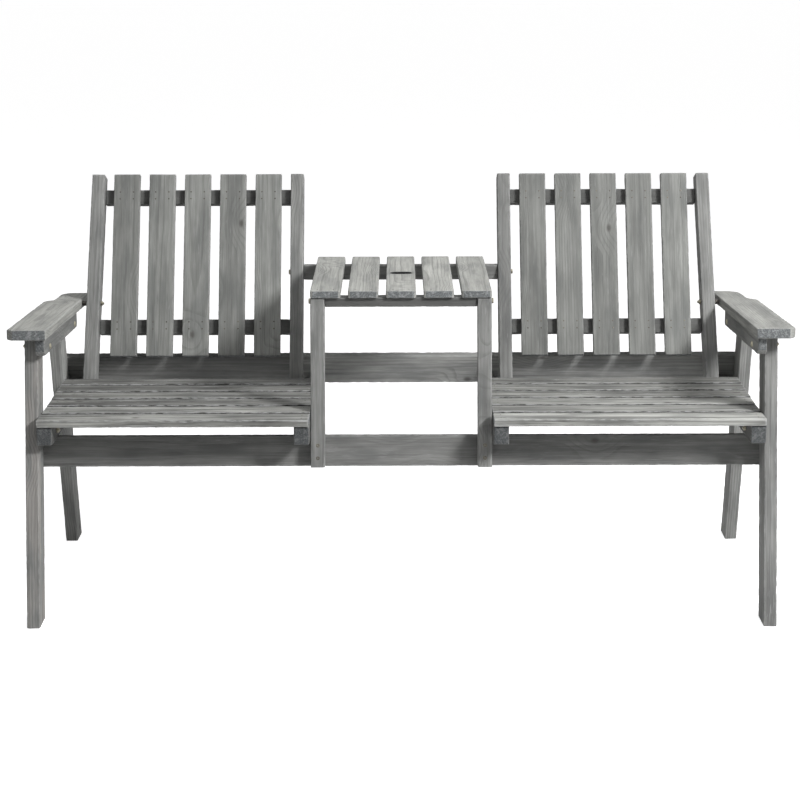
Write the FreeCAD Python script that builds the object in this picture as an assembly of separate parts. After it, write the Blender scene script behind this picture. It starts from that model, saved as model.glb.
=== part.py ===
import FreeCAD, Part
import math
import os

from FreeCAD import Vector

# Companion seat bench: two slatted chairs joined by a small table, all in softwood.
# Millimetres and degrees. +X is to the right of someone looking at the bench, +Y is
# towards its back, +Z is up. While the bench is laid out, y = 0 is the front legs'
# front face at the datum height. At the end it is moved onto its own middle.

# Side frames: a leaning front leg and rear leg, an arm rail and an outer seat rail
leg_thickness = 28.0
leg_width = 58.0
frame_half_width = 773.0
datum_height = 590.0
leg_spacing = 279.0
front_leg_lean = 10.5
rear_leg_lean = 16.0
rear_leg_splay = 0.8
rear_leg_offset = 10.0
arm_rail_thickness = 20.0
arm_rail_height = 35.0
arm_rail_reach = 34.0
arm_rail_clip = 9.0
arm_bolt_share = 0.65

# Armrests
armrest_height = 616.0
armrest_slope = 3.2
armrest_thickness = 22.0
armrest_length = 550.0
armrest_reach = 45.0
armrest_overhang = 28.0
armrest_width = 81.0
armrest_corner = 12.0
armrest_step_start = 402.0
armrest_step_length = 42.0
armrest_step_depth = 19.0
armrest_tail_radius = 34.0

# Seats
seat_height = 432.5
seat_slope = 0.7
seat_reach = 66.0
seat_slat_count = 6
seat_slat_gap = 10.0
seat_slat_thickness = 16.0
seat_slat_end_clearance = 0.5
seat_slat_flare = 1.6
seat_post_clearance = 2.0
seat_rail_thickness = 32.0
seat_rail_height = 38.5
seat_rail_setback = 4.0
seat_rail_end_clearance = 2.0

# Long rails that join the two side frames
lower_rail_height = 65.5
rear_rail_height = 70.0
rear_rail_rise = 29.5
long_rail_thickness = 20.0

# Backrests
post_width = 30.0
post_depth = 40.0
post_rake = 22.5
post_top = 862.0
outer_post_lean = 1.1
table_bay_half_width = 220.0
back_slat_count = 5
back_slat_width = 60.0
back_slat_thickness = 16.0
back_slat_length = 421.0
back_slat_setback = 2.0
back_rail_height = 34.0
upper_rail_drop = 33.0
lower_rail_rise = 87.0

# Table between the seats
table_height = 679.0
table_length = 409.0
table_slat_count = 5
table_slat_width = 63.0
table_slat_thickness = 16.0
table_slat_corner = 5.0
table_overhang = 4.0
table_leg_width = 30.0
table_leg_depth = 30.0
table_rail_width = 34.0
table_rail_thickness = 20.0
table_rail_setback = 4.0
pole_hole_length = 48.0
pole_hole_width = 27.0
pole_hole_overrun = 10.0

# Eased edges
board_round = 2.5
slat_round = 2.0

# Fasteners
bolt_diameter = 6.0
bolt_hole_clearance = 0.3
bolt_head_diameter = 13.0
bolt_head_height = 3.0
bolt_tip = 2.0
nut_width = 10.0
nut_height = 5.0
spacer_play = 0.15
hex_head_height = 4.0
post_bolt_tip = 3.5
lag_depth = 40.0
screw_diameter = 4.0
screw_head_diameter = 8.0
screw_head_height = 2.5
rail_screw_length = 45.0
rail_screw_share = 0.3
bay_screw_length = 55.0
armrest_screw_length = 48.0
armrest_screw_share = 0.25
nail_diameter = 1.8
nail_head_diameter = 3.5
nail_head_height = 1.0
nail_length = 32.0
nail_edge_distance = 15.0
nail_rail_edge = 9.0
back_nail_row = 8.0


def sine(angle):
    return math.sin(math.radians(angle))


def cosine(angle):
    return math.cos(math.radians(angle))


def tangent(angle):
    return math.tan(math.radians(angle))


# Side view. A line is (y, z, lean): lean is its angle back from upright, so a level
# line leans 90 degrees. Its back side is also the under side of a level line.

def along(line, distance):
    y, z, lean = line
    return (y + distance * sine(lean), z + distance * cosine(lean))


def behind(line, distance):
    y, z, lean = line
    return (y + distance * cosine(lean), z - distance * sine(lean), lean)


def restart(line, distance):
    y, z = along(line, distance)
    return (y, z, line[2])


def meet(first, second):
    y1, z1, lean1 = first
    y2, z2, lean2 = second
    turn = sine(lean1) * cosine(lean2) - cosine(lean1) * sine(lean2)
    distance = ((y2 - y1) * cosine(lean2) - (z2 - z1) * sine(lean2)) / turn
    return along(first, distance)


def upright_at(y):
    return (y, 0.0, 0.0)


def level_at(z):
    return (0.0, z, 90.0)


def square_to(line, distance):
    y, z = along(line, distance)
    return (y, z, line[2] + 90.0)


# Solids from side-view outlines, run sideways from one x to another

def slab(outline, x_from, x_to):
    points = [Vector(x_from, y, z) for y, z in outline]
    face = Part.Face(Part.makePolygon(points + points[:1]))
    return face.extrude(Vector(x_to - x_from, 0, 0))


def plank_outline(line, length, thickness):
    back = behind(line, thickness)
    return [along(line, 0), along(line, length), along(back, length), along(back, 0)]


def plank(line, length, thickness, x_from, x_to):
    return slab(plank_outline(line, length, thickness), x_from, x_to)


def straight(start, end):
    return Part.LineSegment(Vector(*start, 0), Vector(*end, 0)).toShape()


def curve(start, middle, end):
    return Part.Arc(Vector(*start, 0), Vector(*middle, 0), Vector(*end, 0)).toShape()


def eased(shape, radius):
    return shape.makeFillet(radius, shape.Edges)


def mirrored(shape):
    return shape.mirror(Vector(0, 0, 0), Vector(1, 0, 0))


# Construction lines in side view
floor = level_at(0.0)
front_leg_face = (0.0, datum_height, front_leg_lean)
front_leg_back = behind(front_leg_face, leg_width)
rear_leg_face = (leg_spacing, datum_height, -rear_leg_lean)
rear_leg_back = behind(rear_leg_face, leg_width)

armrest_face = (-armrest_reach, armrest_height, 90.0 + armrest_slope)
armrest_bed = behind(armrest_face, armrest_thickness)
arm_rail_under = behind(armrest_bed, arm_rail_height)
arm_bolt_level = behind(armrest_bed, arm_bolt_share * arm_rail_height)

seat_face = (-seat_reach, seat_height, 90.0 + seat_slope)
seat_bed = behind(seat_face, seat_slat_thickness)
seat_rail_middle = behind(seat_bed, seat_rail_height / 2)
seat_rail_under = behind(seat_bed, seat_rail_height)

lower_rail_corner = meet(front_leg_back, seat_rail_under)
lower_rail_face = (lower_rail_corner[0], lower_rail_corner[1], front_leg_lean)
rear_rail_corner = meet(rear_leg_back, level_at(seat_height + rear_rail_rise))
rear_rail_face = (rear_rail_corner[0], rear_rail_corner[1], -rear_leg_lean)

post_back = (rear_rail_corner[0], rear_rail_corner[1], post_rake)
post_plane = behind(post_back, -post_depth)
post_top_corner = meet(post_plane, level_at(post_top))
post_face = (post_top_corner[0], post_top_corner[1], post_rake)
post_foot = meet(post_face, seat_rail_under)
back_rail_face = behind(post_face, back_slat_setback + back_slat_thickness)
lower_rail_drop = back_slat_length - lower_rail_rise

table_face = (0.0, table_height, 90.0)
table_bed = behind(table_face, table_slat_thickness)
table_leg_face = behind(lower_rail_face, -table_leg_depth)
table_front = meet(table_leg_face, table_bed)[0] - table_overhang

# Sideways positions, right-hand half
leg_inner = frame_half_width - leg_thickness
rear_leg_inner = leg_inner + rear_leg_offset
rear_leg_outer = frame_half_width + rear_leg_offset
arm_rail_inner = leg_inner - arm_rail_thickness
outer_seat_rail_inner = leg_inner - seat_rail_thickness
outer_post_inner = outer_seat_rail_inner - post_width
inner_post_outer = table_bay_half_width + post_width
inner_seat_rail_inner = table_bay_half_width - seat_rail_thickness
table_half_width = inner_seat_rail_inner
armrest_half_span = frame_half_width + armrest_overhang
armrest_inner = armrest_half_span - armrest_width
table_leg_inner = table_half_width - table_leg_width

# Long nuts on the bolts hold the rear legs off the rails and the armrests off the outer
# posts. The rear legs splay, each turning in the plane of its own back about the point
# where its front edge passes the top of the seat rail. The outer posts lean in, each
# turning in the plane of the backrest about its foot.
splay_edge = meet(rear_leg_face, seat_bed)


def climb(start, lean, y, z):
    return (y - start[0]) * sine(lean) + (z - start[1]) * cosine(lean)


def leaned(shape, x, start, lean, angle):
    normal = Vector(0, cosine(lean), -sine(lean))
    copy = shape.copy()
    copy.rotate(Vector(x, start[0], start[1]), normal, -angle)
    return copy


def rear_leg_inset(y, z):
    return climb(splay_edge, -rear_leg_lean, y, z) * tangent(rear_leg_splay)


def outer_post_inset(y, z):
    return climb(post_foot, post_rake, y, z) * tangent(outer_post_lean)


def front_leg():
    outline = [meet(front_leg_face, floor), meet(front_leg_face, armrest_bed),
               meet(front_leg_back, armrest_bed), meet(front_leg_back, floor)]
    return eased(slab(outline, leg_inner, frame_half_width), board_round)


def rear_leg():
    below_floor = level_at(-leg_width)
    above_armrest = level_at(armrest_height + leg_width)
    outline = [meet(rear_leg_face, below_floor), meet(rear_leg_face, above_armrest),
               meet(rear_leg_back, above_armrest), meet(rear_leg_back, below_floor)]
    leg = leaned(slab(outline, rear_leg_inner, rear_leg_outer), rear_leg_inner, splay_edge,
                 -rear_leg_lean, rear_leg_splay)
    front_bound = upright_at(-armrest_height)
    back_bound = upright_at(leg_spacing + armrest_height)
    room = [meet(front_bound, floor), meet(front_bound, armrest_bed),
            meet(back_bound, armrest_bed), meet(back_bound, floor)]
    leg = leg.common(slab(room, 0.0, 2 * frame_half_width))
    return eased(leg, board_round)


def arm_rail():
    front_end = upright_at(-arm_rail_reach)
    back_end = upright_at(meet(rear_leg_back, arm_rail_under)[0])
    front_clip_top = meet(front_end, behind(arm_rail_under, -arm_rail_clip))
    back_clip_top = meet(back_end, behind(arm_rail_under, -arm_rail_clip))
    front_clip_under = meet(upright_at(-arm_rail_reach + arm_rail_clip), arm_rail_under)
    back_clip_under = meet(upright_at(back_end[0] - arm_rail_clip), arm_rail_under)
    outline = [meet(front_end, armrest_bed), meet(back_end, armrest_bed), back_clip_top,
               back_clip_under, front_clip_under, front_clip_top]
    return eased(slab(outline, arm_rail_inner, leg_inner), board_round)


def armrest():
    outer_rear = armrest_half_span - armrest_step_depth
    step_end = armrest_step_start + armrest_step_length
    half_way = (armrest_half_span - armrest_step_depth / 2,
                (armrest_step_start + step_end) / 2)
    step_radius = (armrest_step_length ** 2 + armrest_step_depth ** 2) / (4 * armrest_step_depth)
    half_turn = math.degrees(math.asin(armrest_step_length / 2 / step_radius)) / 2
    ease_across = step_radius * (1 - cosine(half_turn))
    ease_along = step_radius * sine(half_turn)
    before = (armrest_half_span - ease_across, armrest_step_start + ease_along)
    after = (outer_rear + ease_across, step_end - ease_along)
    tail = armrest_tail_radius
    tail_bow = tail * (1 - cosine(45))
    run = [
        (armrest_inner, 0),
        (armrest_half_span - armrest_corner, 0),
        (armrest_half_span, armrest_corner),
        (armrest_half_span, armrest_step_start),
    ]
    edges = [straight(a, b) for a, b in zip(run, run[1:])]
    edges.append(curve(run[-1], before, half_way))
    edges.append(curve(half_way, after, (outer_rear, step_end)))
    edges.append(straight((outer_rear, step_end), (outer_rear, armrest_length - tail)))
    edges.append(curve((outer_rear, armrest_length - tail),
                       (outer_rear - tail_bow, armrest_length - tail_bow),
                       (outer_rear - tail, armrest_length)))
    close = [(outer_rear - tail, armrest_length), (armrest_inner, armrest_length),
             (armrest_inner, 0)]
    edges += [straight(a, b) for a, b in zip(close, close[1:])]
    board = Part.Face(Part.Wire(edges)).extrude(Vector(0, 0, -armrest_thickness))
    board = eased(board, board_round)
    board.rotate(Vector(0, 0, 0), Vector(1, 0, 0), -armrest_slope)
    board.translate(Vector(0, -armrest_reach, armrest_height))
    return board


def seat_rail(x_from, x_to):
    front_end = square_to(seat_bed, seat_rail_setback)
    back_top = meet(rear_rail_face, seat_bed)[0] - seat_rail_end_clearance
    back_end = upright_at(back_top)
    outline = [meet(front_end, seat_bed), meet(back_end, seat_bed),
               meet(back_end, seat_rail_under), meet(front_end, seat_rail_under)]
    return eased(slab(outline, x_from, x_to), board_round)


def long_rail(face, height, half_length):
    top = restart(face, -height)
    return eased(plank(top, height, long_rail_thickness, -half_length, half_length), board_round)


def post(x_from, x_to):
    outline = [along(post_face, 0), along(behind(post_face, post_depth), 0),
               meet(post_back, seat_rail_under), post_foot]
    return eased(slab(outline, x_from, x_to), board_round)


def outer_post():
    upright = post(outer_post_inner, outer_seat_rail_inner)
    return leaned(upright, outer_seat_rail_inner, post_foot, post_rake, outer_post_lean)


def back_rail(drop):
    start = restart(back_rail_face, -drop - back_rail_height)
    thickness = post_depth - back_slat_setback - back_slat_thickness
    board = plank(start, back_rail_height, thickness, inner_post_outer, back_rail_end(drop))
    return eased(board, slat_round)


def back_rail_end(drop):
    return outer_post_inner - outer_post_inset(*along(back_rail_face, -drop))


def back_slat_span():
    return back_rail_end(upper_rail_drop) - inner_post_outer


def back_slat_centre(index):
    gap = (back_slat_span() - back_slat_count * back_slat_width) / (back_slat_count + 1)
    return inner_post_outer + gap + back_slat_width / 2 + index * (back_slat_width + gap)


def back_slat(index):
    start = restart(behind(post_face, back_slat_setback), -back_slat_length)
    centre = back_slat_centre(index)
    half = back_slat_width / 2
    return eased(plank(start, back_slat_length, back_slat_thickness, centre - half, centre + half),
                 slat_round)


def seat_depth():
    back_edge = meet(post_face, seat_bed)[0] - seat_post_clearance
    return (back_edge + seat_reach) / cosine(seat_slope)


def seat_slat_width():
    return (seat_depth() + seat_slat_gap) / seat_slat_count - seat_slat_gap


def seat_slat_start(index):
    return index * (seat_slat_width() + seat_slat_gap)


def seat_slat_end(index):
    y, z = along(seat_face, seat_slat_start(index) + seat_slat_width() / 2)
    flare = max(y - leg_width, 0.0) * tangent(seat_slat_flare)
    return leg_inner + flare - seat_slat_end_clearance


def seat_slat(index):
    start = restart(seat_face, seat_slat_start(index))
    board = plank(start, seat_slat_width(), seat_slat_thickness,
                  inner_seat_rail_inner + seat_slat_end_clearance, seat_slat_end(index))
    return eased(board, slat_round)


def table_slat_centre(index):
    gap = (2 * table_half_width - table_slat_count * table_slat_width) / (table_slat_count - 1)
    return -table_half_width + table_slat_width / 2 + index * (table_slat_width + gap)


def table_slat(index):
    centre = table_slat_centre(index)
    board = Part.makeBox(table_slat_width, table_length, table_slat_thickness,
                         Vector(centre - table_slat_width / 2, table_front,
                                table_height - table_slat_thickness))
    corners = [edge for edge in board.Edges if edge.BoundBox.ZLength > table_slat_thickness / 2]
    board = board.makeFillet(table_slat_corner, corners)
    if index == table_slat_count // 2:
        board = board.cut(pole_hole(centre))
    rims = [edge for edge in board.Edges if edge.BoundBox.ZLength < table_slat_thickness / 2]
    return board.makeFillet(slat_round, rims)


def pole_hole(centre):
    radius = pole_hole_width / 2
    reach = pole_hole_length / 2 - radius
    middle = table_front + table_length / 2
    below = table_height - table_slat_thickness - pole_hole_overrun
    depth = table_slat_thickness + 2 * pole_hole_overrun
    hole = Part.makeBox(2 * reach, pole_hole_width, depth,
                        Vector(centre - reach, middle - radius, below))
    for side in (-1, 1):
        end = Part.makeCylinder(radius, depth, Vector(centre + side * reach, middle, below))
        hole = hole.fuse(end)
    return hole.removeSplitter()


def table_leg():
    top = meet(table_leg_face, table_bed)
    back = behind(table_leg_face, table_leg_depth)
    foot = square_to(lower_rail_face, -lower_rail_height)
    outline = [meet(table_leg_face, foot), top, meet(back, table_bed), meet(back, foot)]
    return eased(slab(outline, table_leg_inner, table_half_width), slat_round)


def table_front_rail():
    low = table_height - table_slat_thickness - table_rail_thickness
    front = table_front + table_overhang + table_rail_setback
    board = Part.makeBox(2 * table_leg_inner, table_rail_width, table_rail_thickness,
                         Vector(-table_leg_inner, front, low))
    return eased(board, slat_round)


def table_rear_rail_middle():
    z = table_height - table_slat_thickness - table_rail_width / 2
    front = meet(post_face, level_at(z))[0]
    back = meet(post_back, level_at(z))[0]
    return ((front + back) / 2, z)


def table_rear_rail():
    y, z = table_rear_rail_middle()
    board = Part.makeBox(2 * table_bay_half_width, table_rail_thickness, table_rail_width,
                         Vector(-table_bay_half_width, y - table_rail_thickness / 2,
                                z - table_rail_width / 2))
    return eased(board, slat_round)


# Fasteners point along a direction from the surface that their head lies on

def rod(radius, length, base, direction):
    return Part.makeCylinder(radius, length, base, direction)


def carriage_bolt(base, direction, grip):
    shank = rod(bolt_diameter / 2, grip + nut_height + bolt_tip, base, direction)
    rim = bolt_head_diameter / 2
    dome_radius = (rim ** 2 + bolt_head_height ** 2) / (2 * bolt_head_height)
    centre = base + direction * (dome_radius - bolt_head_height)
    rim_latitude = 90 - math.degrees(math.asin(rim / dome_radius))
    dome = Part.makeSphere(dome_radius, centre, direction * -1, rim_latitude, 90)
    return shank.fuse(dome)


def hexagon(width, height, base, direction):
    corner = width / math.sqrt(3)
    angles = range(0, 360, 60)
    points = [Vector(corner * cosine(angle), corner * sine(angle), 0) for angle in angles]
    prism = Part.Face(Part.makePolygon(points + points[:1])).extrude(Vector(0, 0, height))
    prism.Placement = FreeCAD.Placement(base, FreeCAD.Rotation(Vector(0, 0, 1), direction))
    return prism


def hex_nut(base, direction, height):
    bore = rod(bolt_diameter / 2, height, base, direction)
    return hexagon(nut_width, height, base, direction).cut(bore)


def lag_screw(base, direction, grip, tip):
    shank = rod(bolt_diameter / 2, grip + lag_depth, base, direction)
    head = hexagon(nut_width, hex_head_height, base - direction * hex_head_height, direction)
    screw = shank.fuse(head)
    if tip > 0:
        end = rod(bolt_diameter / 2, hex_head_height + tip,
                  base - direction * (hex_head_height + tip), direction)
        screw = screw.fuse(end).removeSplitter()
    return screw


def wood_screw(base, direction, length):
    shank = rod(screw_diameter / 2, length, base, direction)
    head = Part.makeCone(screw_head_diameter / 2, screw_diameter / 2, screw_head_height,
                         base, direction)
    return shank.fuse(head)


def nail(base, direction):
    shank = rod(nail_diameter / 2, nail_length, base, direction)
    head = rod(nail_head_diameter / 2, nail_head_height, base, direction)
    return shank.fuse(head)


# Places of the fasteners, right-hand half

inwards = Vector(-1, 0, 0)
outwards = Vector(1, 0, 0)


def leg_middle(line, level):
    front = meet(line, level)
    back = meet(behind(line, leg_width), level)
    return ((front[0] + back[0]) / 2, (front[1] + back[1]) / 2)


def leg_outer_face(line, y, z):
    if line == rear_leg_face:
        return rear_leg_outer - rear_leg_inset(y, z)
    return frame_half_width


def arm_rail_bolts():
    bolts = []
    for line in (front_leg_face, rear_leg_face):
        y, z = leg_middle(line, arm_bolt_level)
        head = Vector(arm_rail_inner, y, z)
        bolts.append((head, outwards, leg_outer_face(line, y, z) - head.x))
    return bolts


def seat_rail_bolts():
    bolts = []
    for line in (front_leg_face, rear_leg_face):
        y, z = leg_middle(line, seat_rail_middle)
        head = Vector(leg_outer_face(line, y, z), y, z)
        bolts.append((head, inwards, head.x - outer_seat_rail_inner))
    return bolts


def post_bolts():
    y, z = meet(behind(post_face, post_depth / 2), seat_rail_middle)
    grip = seat_rail_thickness + post_width
    return [(Vector(x, y, z), inwards, grip) for x in (leg_inner, inner_post_outer)]


def armrest_joint():
    return meet(behind(post_face, post_depth / 2), behind(armrest_face, armrest_thickness / 2))


def spacer(x_from, x_to, y, z):
    return (Vector(x_from + spacer_play, y, z), outwards, x_to - x_from - 2 * spacer_play)


def spacer_places():
    spacers = []
    for level in (arm_bolt_level, seat_rail_middle):
        y, z = leg_middle(rear_leg_face, level)
        spacers.append(spacer(leg_inner, rear_leg_inner - rear_leg_inset(y, z), y, z))
    y, z = armrest_joint()
    post_outer = outer_seat_rail_inner - outer_post_inset(y, z)
    spacers.append(spacer(post_outer, armrest_inner, y, z))
    return spacers


def bay_screw_places():
    places = []
    for share in (rail_screw_share, 1 - rail_screw_share):
        level = behind(seat_bed, share * seat_rail_height)
        y, z = meet(behind(table_leg_face, table_leg_depth / 2), level)
        places.append((Vector(table_bay_half_width, y, z), inwards))
    return places


def lag_places():
    y, z = armrest_joint()
    arm_x = outer_post_inner - outer_post_inset(y, z)
    rail_y, rail_z = table_rear_rail_middle()
    front_y = table_front + table_overhang + table_rail_setback + table_rail_width / 2
    front_z = table_height - table_slat_thickness - table_rail_thickness / 2
    return [(Vector(arm_x, y, z), outwards, armrest_inner - arm_x, post_bolt_tip),
            (Vector(inner_post_outer, rail_y, rail_z), inwards, post_width, 0.0),
            (Vector(table_half_width, front_y, front_z), inwards, table_leg_width, 0.0)]


def rail_screw_places():
    places = []
    into_rear = Vector(0, cosine(front_leg_lean), -sine(front_leg_lean))
    into_front = into_rear * -1
    into_rear_leg = Vector(0, -cosine(rear_leg_lean), -sine(rear_leg_lean))
    lower_back = behind(lower_rail_face, long_rail_thickness)
    rear_back = behind(rear_rail_face, long_rail_thickness)
    front_x = (leg_inner + frame_half_width) / 2
    rear_x = (rear_leg_inner + rear_leg_outer) / 2
    table_x = (table_leg_inner + table_half_width) / 2
    for share in (rail_screw_share, 1 - rail_screw_share):
        y, z = along(table_leg_face, -share * lower_rail_height)
        places.append((Vector(table_x, y, z), into_rear))
        y, z = along(lower_back, -share * lower_rail_height)
        places.append((Vector(front_x, y, z), into_front))
        y, z = along(rear_back, -share * rear_rail_height)
        places.append((Vector(rear_x, y, z), into_rear_leg))
    return places


def armrest_screw_places():
    places = []
    lift = Vector(0, sine(armrest_slope), cosine(armrest_slope))
    first = meet(front_leg_back, arm_rail_under)[0]
    last = meet(rear_leg_face, arm_rail_under)[0]
    for share in (armrest_screw_share, 1 - armrest_screw_share):
        y, z = meet(upright_at(first + share * (last - first)), arm_rail_under)
        places.append((Vector((arm_rail_inner + leg_inner) / 2, y, z), lift))
    return places


def back_nail_places():
    into = Vector(0, cosine(post_rake), -sine(post_rake))
    face = behind(post_face, back_slat_setback)
    places = []
    for drop in (upper_rail_drop, lower_rail_drop):
        for row in (-back_nail_row, back_nail_row):
            y, z = along(face, row - drop - back_rail_height / 2)
            for index in range(back_slat_count):
                for side in (-1, 1):
                    x = back_slat_centre(index) + side * (back_slat_width / 2 - nail_edge_distance)
                    places.append((Vector(x, y, z), into))
    return places


def seat_nail_places():
    into = Vector(0, -sine(seat_slope), -cosine(seat_slope))
    rails = (leg_inner - seat_rail_thickness / 2, table_bay_half_width - seat_rail_thickness / 2)
    places = []
    for index in range(seat_slat_count):
        for inset in (nail_edge_distance, seat_slat_width() - nail_edge_distance):
            y, z = along(seat_face, seat_slat_start(index) + inset)
            places += [(Vector(x, y, z), into) for x in rails]
    return places


def table_nail_places():
    into = Vector(0, 0, -1)
    front_row = table_front + table_overhang + table_rail_setback + nail_rail_edge
    rows = (front_row, table_rear_rail_middle()[0])
    places = []
    for index in range(table_slat_count):
        for y in rows:
            for side in (-1, 1):
                x = table_slat_centre(index) + side * (table_slat_width / 2 - nail_edge_distance)
                places.append((Vector(x, y, table_height), into))
    return places


# Pieces that come in left and right pairs, built on the right
def paired_pieces():
    pieces = {
        "front_leg": front_leg(),
        "rear_leg": rear_leg(),
        "arm_rail": arm_rail(),
        "armrest": armrest(),
        "seat_rail_outer": seat_rail(outer_seat_rail_inner, leg_inner),
        "seat_rail_inner": seat_rail(inner_seat_rail_inner, table_bay_half_width),
        "back_post_outer": outer_post(),
        "back_post_inner": post(table_bay_half_width, inner_post_outer),
        "back_rail_upper": back_rail(upper_rail_drop),
        "back_rail_lower": back_rail(lower_rail_drop),
        "table_leg": table_leg(),
    }
    for index in range(back_slat_count):
        pieces["back_slat_%d" % (index + 1)] = back_slat(index)
    for index in range(seat_slat_count):
        pieces["seat_slat_%d" % (index + 1)] = seat_slat(index)
    return pieces


def central_pieces():
    pieces = {
        "front_lower_rail": long_rail(lower_rail_face, lower_rail_height, frame_half_width),
        "rear_wide_rail": long_rail(rear_rail_face, rear_rail_height, rear_leg_outer),
        "table_front_rail": table_front_rail(),
        "table_rear_rail": table_rear_rail(),
    }
    for index in range(table_slat_count):
        pieces["table_slat_%d" % (index + 1)] = table_slat(index)
    return pieces


def both_sides(shapes):
    return shapes + [mirrored(shape) for shape in shapes]


def bolt_places():
    return arm_rail_bolts() + seat_rail_bolts() + post_bolts()


def fasteners():
    bolts = bolt_places()
    nuts = [hex_nut(base + way * grip, way, nut_height) for base, way, grip in bolts]
    spacers = [hex_nut(*place) for place in spacer_places()]
    rail_screws = [wood_screw(base, way, rail_screw_length) for base, way in rail_screw_places()]
    bay_screws = [wood_screw(base, way, bay_screw_length) for base, way in bay_screw_places()]
    nails = [nail(base, way) for base, way in back_nail_places() + seat_nail_places()]
    table_nails = [nail(base, way) for base, way in table_nail_places()]
    return {
        "carriage_bolts": both_sides([carriage_bolt(*place) for place in bolts]),
        "hex_nuts": both_sides(nuts + spacers),
        "lag_screws": both_sides([lag_screw(*place) for place in lag_places()]),
        "rail_screws": both_sides(rail_screws + bay_screws),
        "armrest_screws": both_sides([wood_screw(base, way, armrest_screw_length)
                                      for base, way in armrest_screw_places()]),
        "slat_nails": both_sides(nails) + table_nails,
    }


# Bolts pass through with clearance, and everything else sits tight in its own hole

def bolt_holes():
    radius = bolt_diameter / 2 + bolt_hole_clearance
    return both_sides([rod(radius, grip, base, way) for base, way, grip in bolt_places()])


def drilled(board, tools):
    touching = [tool for tool in tools if board.BoundBox.intersect(tool.BoundBox)]
    return board.cut(touching) if touching else board


def main():
    os.makedirs("parts", exist_ok=True)
    boards = central_pieces()
    for name, shape in paired_pieces().items():
        boards[name + "_right"] = shape
        boards[name + "_left"] = mirrored(shape)
    metal = fasteners()
    tools = bolt_holes() + [solid for solids in metal.values() for solid in solids]
    shapes = {name: drilled(board, tools) for name, board in boards.items()}
    for name, solids in metal.items():
        shapes[name] = Part.makeCompound(solids)
    extent = Part.makeCompound(list(shapes.values())).BoundBox
    to_origin = Vector(-extent.Center.x, -extent.Center.y, -extent.ZMin)
    for name, shape in shapes.items():
        shape.translate(to_origin)
        shape.exportStep("parts/%s.step" % name)


main()
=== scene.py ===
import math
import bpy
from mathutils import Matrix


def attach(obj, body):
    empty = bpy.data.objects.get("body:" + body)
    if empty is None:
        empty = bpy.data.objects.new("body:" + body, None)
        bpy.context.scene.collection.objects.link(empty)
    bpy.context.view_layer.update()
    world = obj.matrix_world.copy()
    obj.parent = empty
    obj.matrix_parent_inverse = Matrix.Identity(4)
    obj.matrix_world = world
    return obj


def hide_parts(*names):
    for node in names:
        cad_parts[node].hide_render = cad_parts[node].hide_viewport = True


bl_info = {
    "name": "Companion Seat Bench",
    "version": (1, 0, 0),
    "blender": (4, 5, 0),
    "location": "3D View > Sidebar > Bench",
    "description": "Weathered boards, plated fasteners and a studio for a companion seat bench",
    "category": "Object",
}

import bmesh
import bpy
import numpy as np
from bpy.props import (FloatProperty, FloatVectorProperty, IntProperty, PointerProperty)
from mathutils import Matrix, Vector

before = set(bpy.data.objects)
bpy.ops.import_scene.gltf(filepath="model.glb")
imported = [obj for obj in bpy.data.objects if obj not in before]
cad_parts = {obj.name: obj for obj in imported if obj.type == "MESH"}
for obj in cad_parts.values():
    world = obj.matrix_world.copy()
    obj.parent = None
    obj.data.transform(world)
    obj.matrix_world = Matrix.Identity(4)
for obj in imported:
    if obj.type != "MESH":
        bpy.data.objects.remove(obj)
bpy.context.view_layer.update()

SIDES = ("right", "left")
SEAT_SLATS = 6
BACK_SLATS = 5
TABLE_SLATS = 5
# Counted from nought, as every place in a row is
MIDDLE_TABLE_SLAT = TABLE_SLATS // 2
WHITE = (1.0, 1.0, 1.0, 1.0)
SENSOR_WIDTH = 36.0
SAME_POINT = 1e-6

UP = Vector((0, 0, 1))
BACK = Vector((0, 1, 0))
RIGHT = Vector((1, 0, 0))


class BenchAngles(bpy.types.PropertyGroup):
    front_leg_lean: FloatProperty(
        name="Front leg lean", description="How far the front legs lean back from upright",
        default=math.radians(10.5), subtype="ANGLE")
    rear_leg_lean: FloatProperty(
        name="Rear leg lean", description="How far the rear legs lean forward from upright",
        default=math.radians(16.0), subtype="ANGLE")
    rear_leg_splay: FloatProperty(
        name="Rear leg splay", description="How far the rear legs draw in towards the top",
        default=math.radians(0.8), subtype="ANGLE")
    armrest_slope: FloatProperty(
        name="Armrest slope", description="How far the armrests drop towards the back",
        default=math.radians(3.2), subtype="ANGLE")
    seat_slope: FloatProperty(
        name="Seat slope", description="How far the seats drop towards the back",
        default=math.radians(0.7), subtype="ANGLE")
    post_rake: FloatProperty(
        name="Post rake", description="How far the backrests lean back from upright",
        default=math.radians(22.5), subtype="ANGLE")
    outer_post_lean: FloatProperty(
        name="Outer post lean", description="How far the outer posts draw in towards the top",
        default=math.radians(1.1), subtype="ANGLE")


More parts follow.
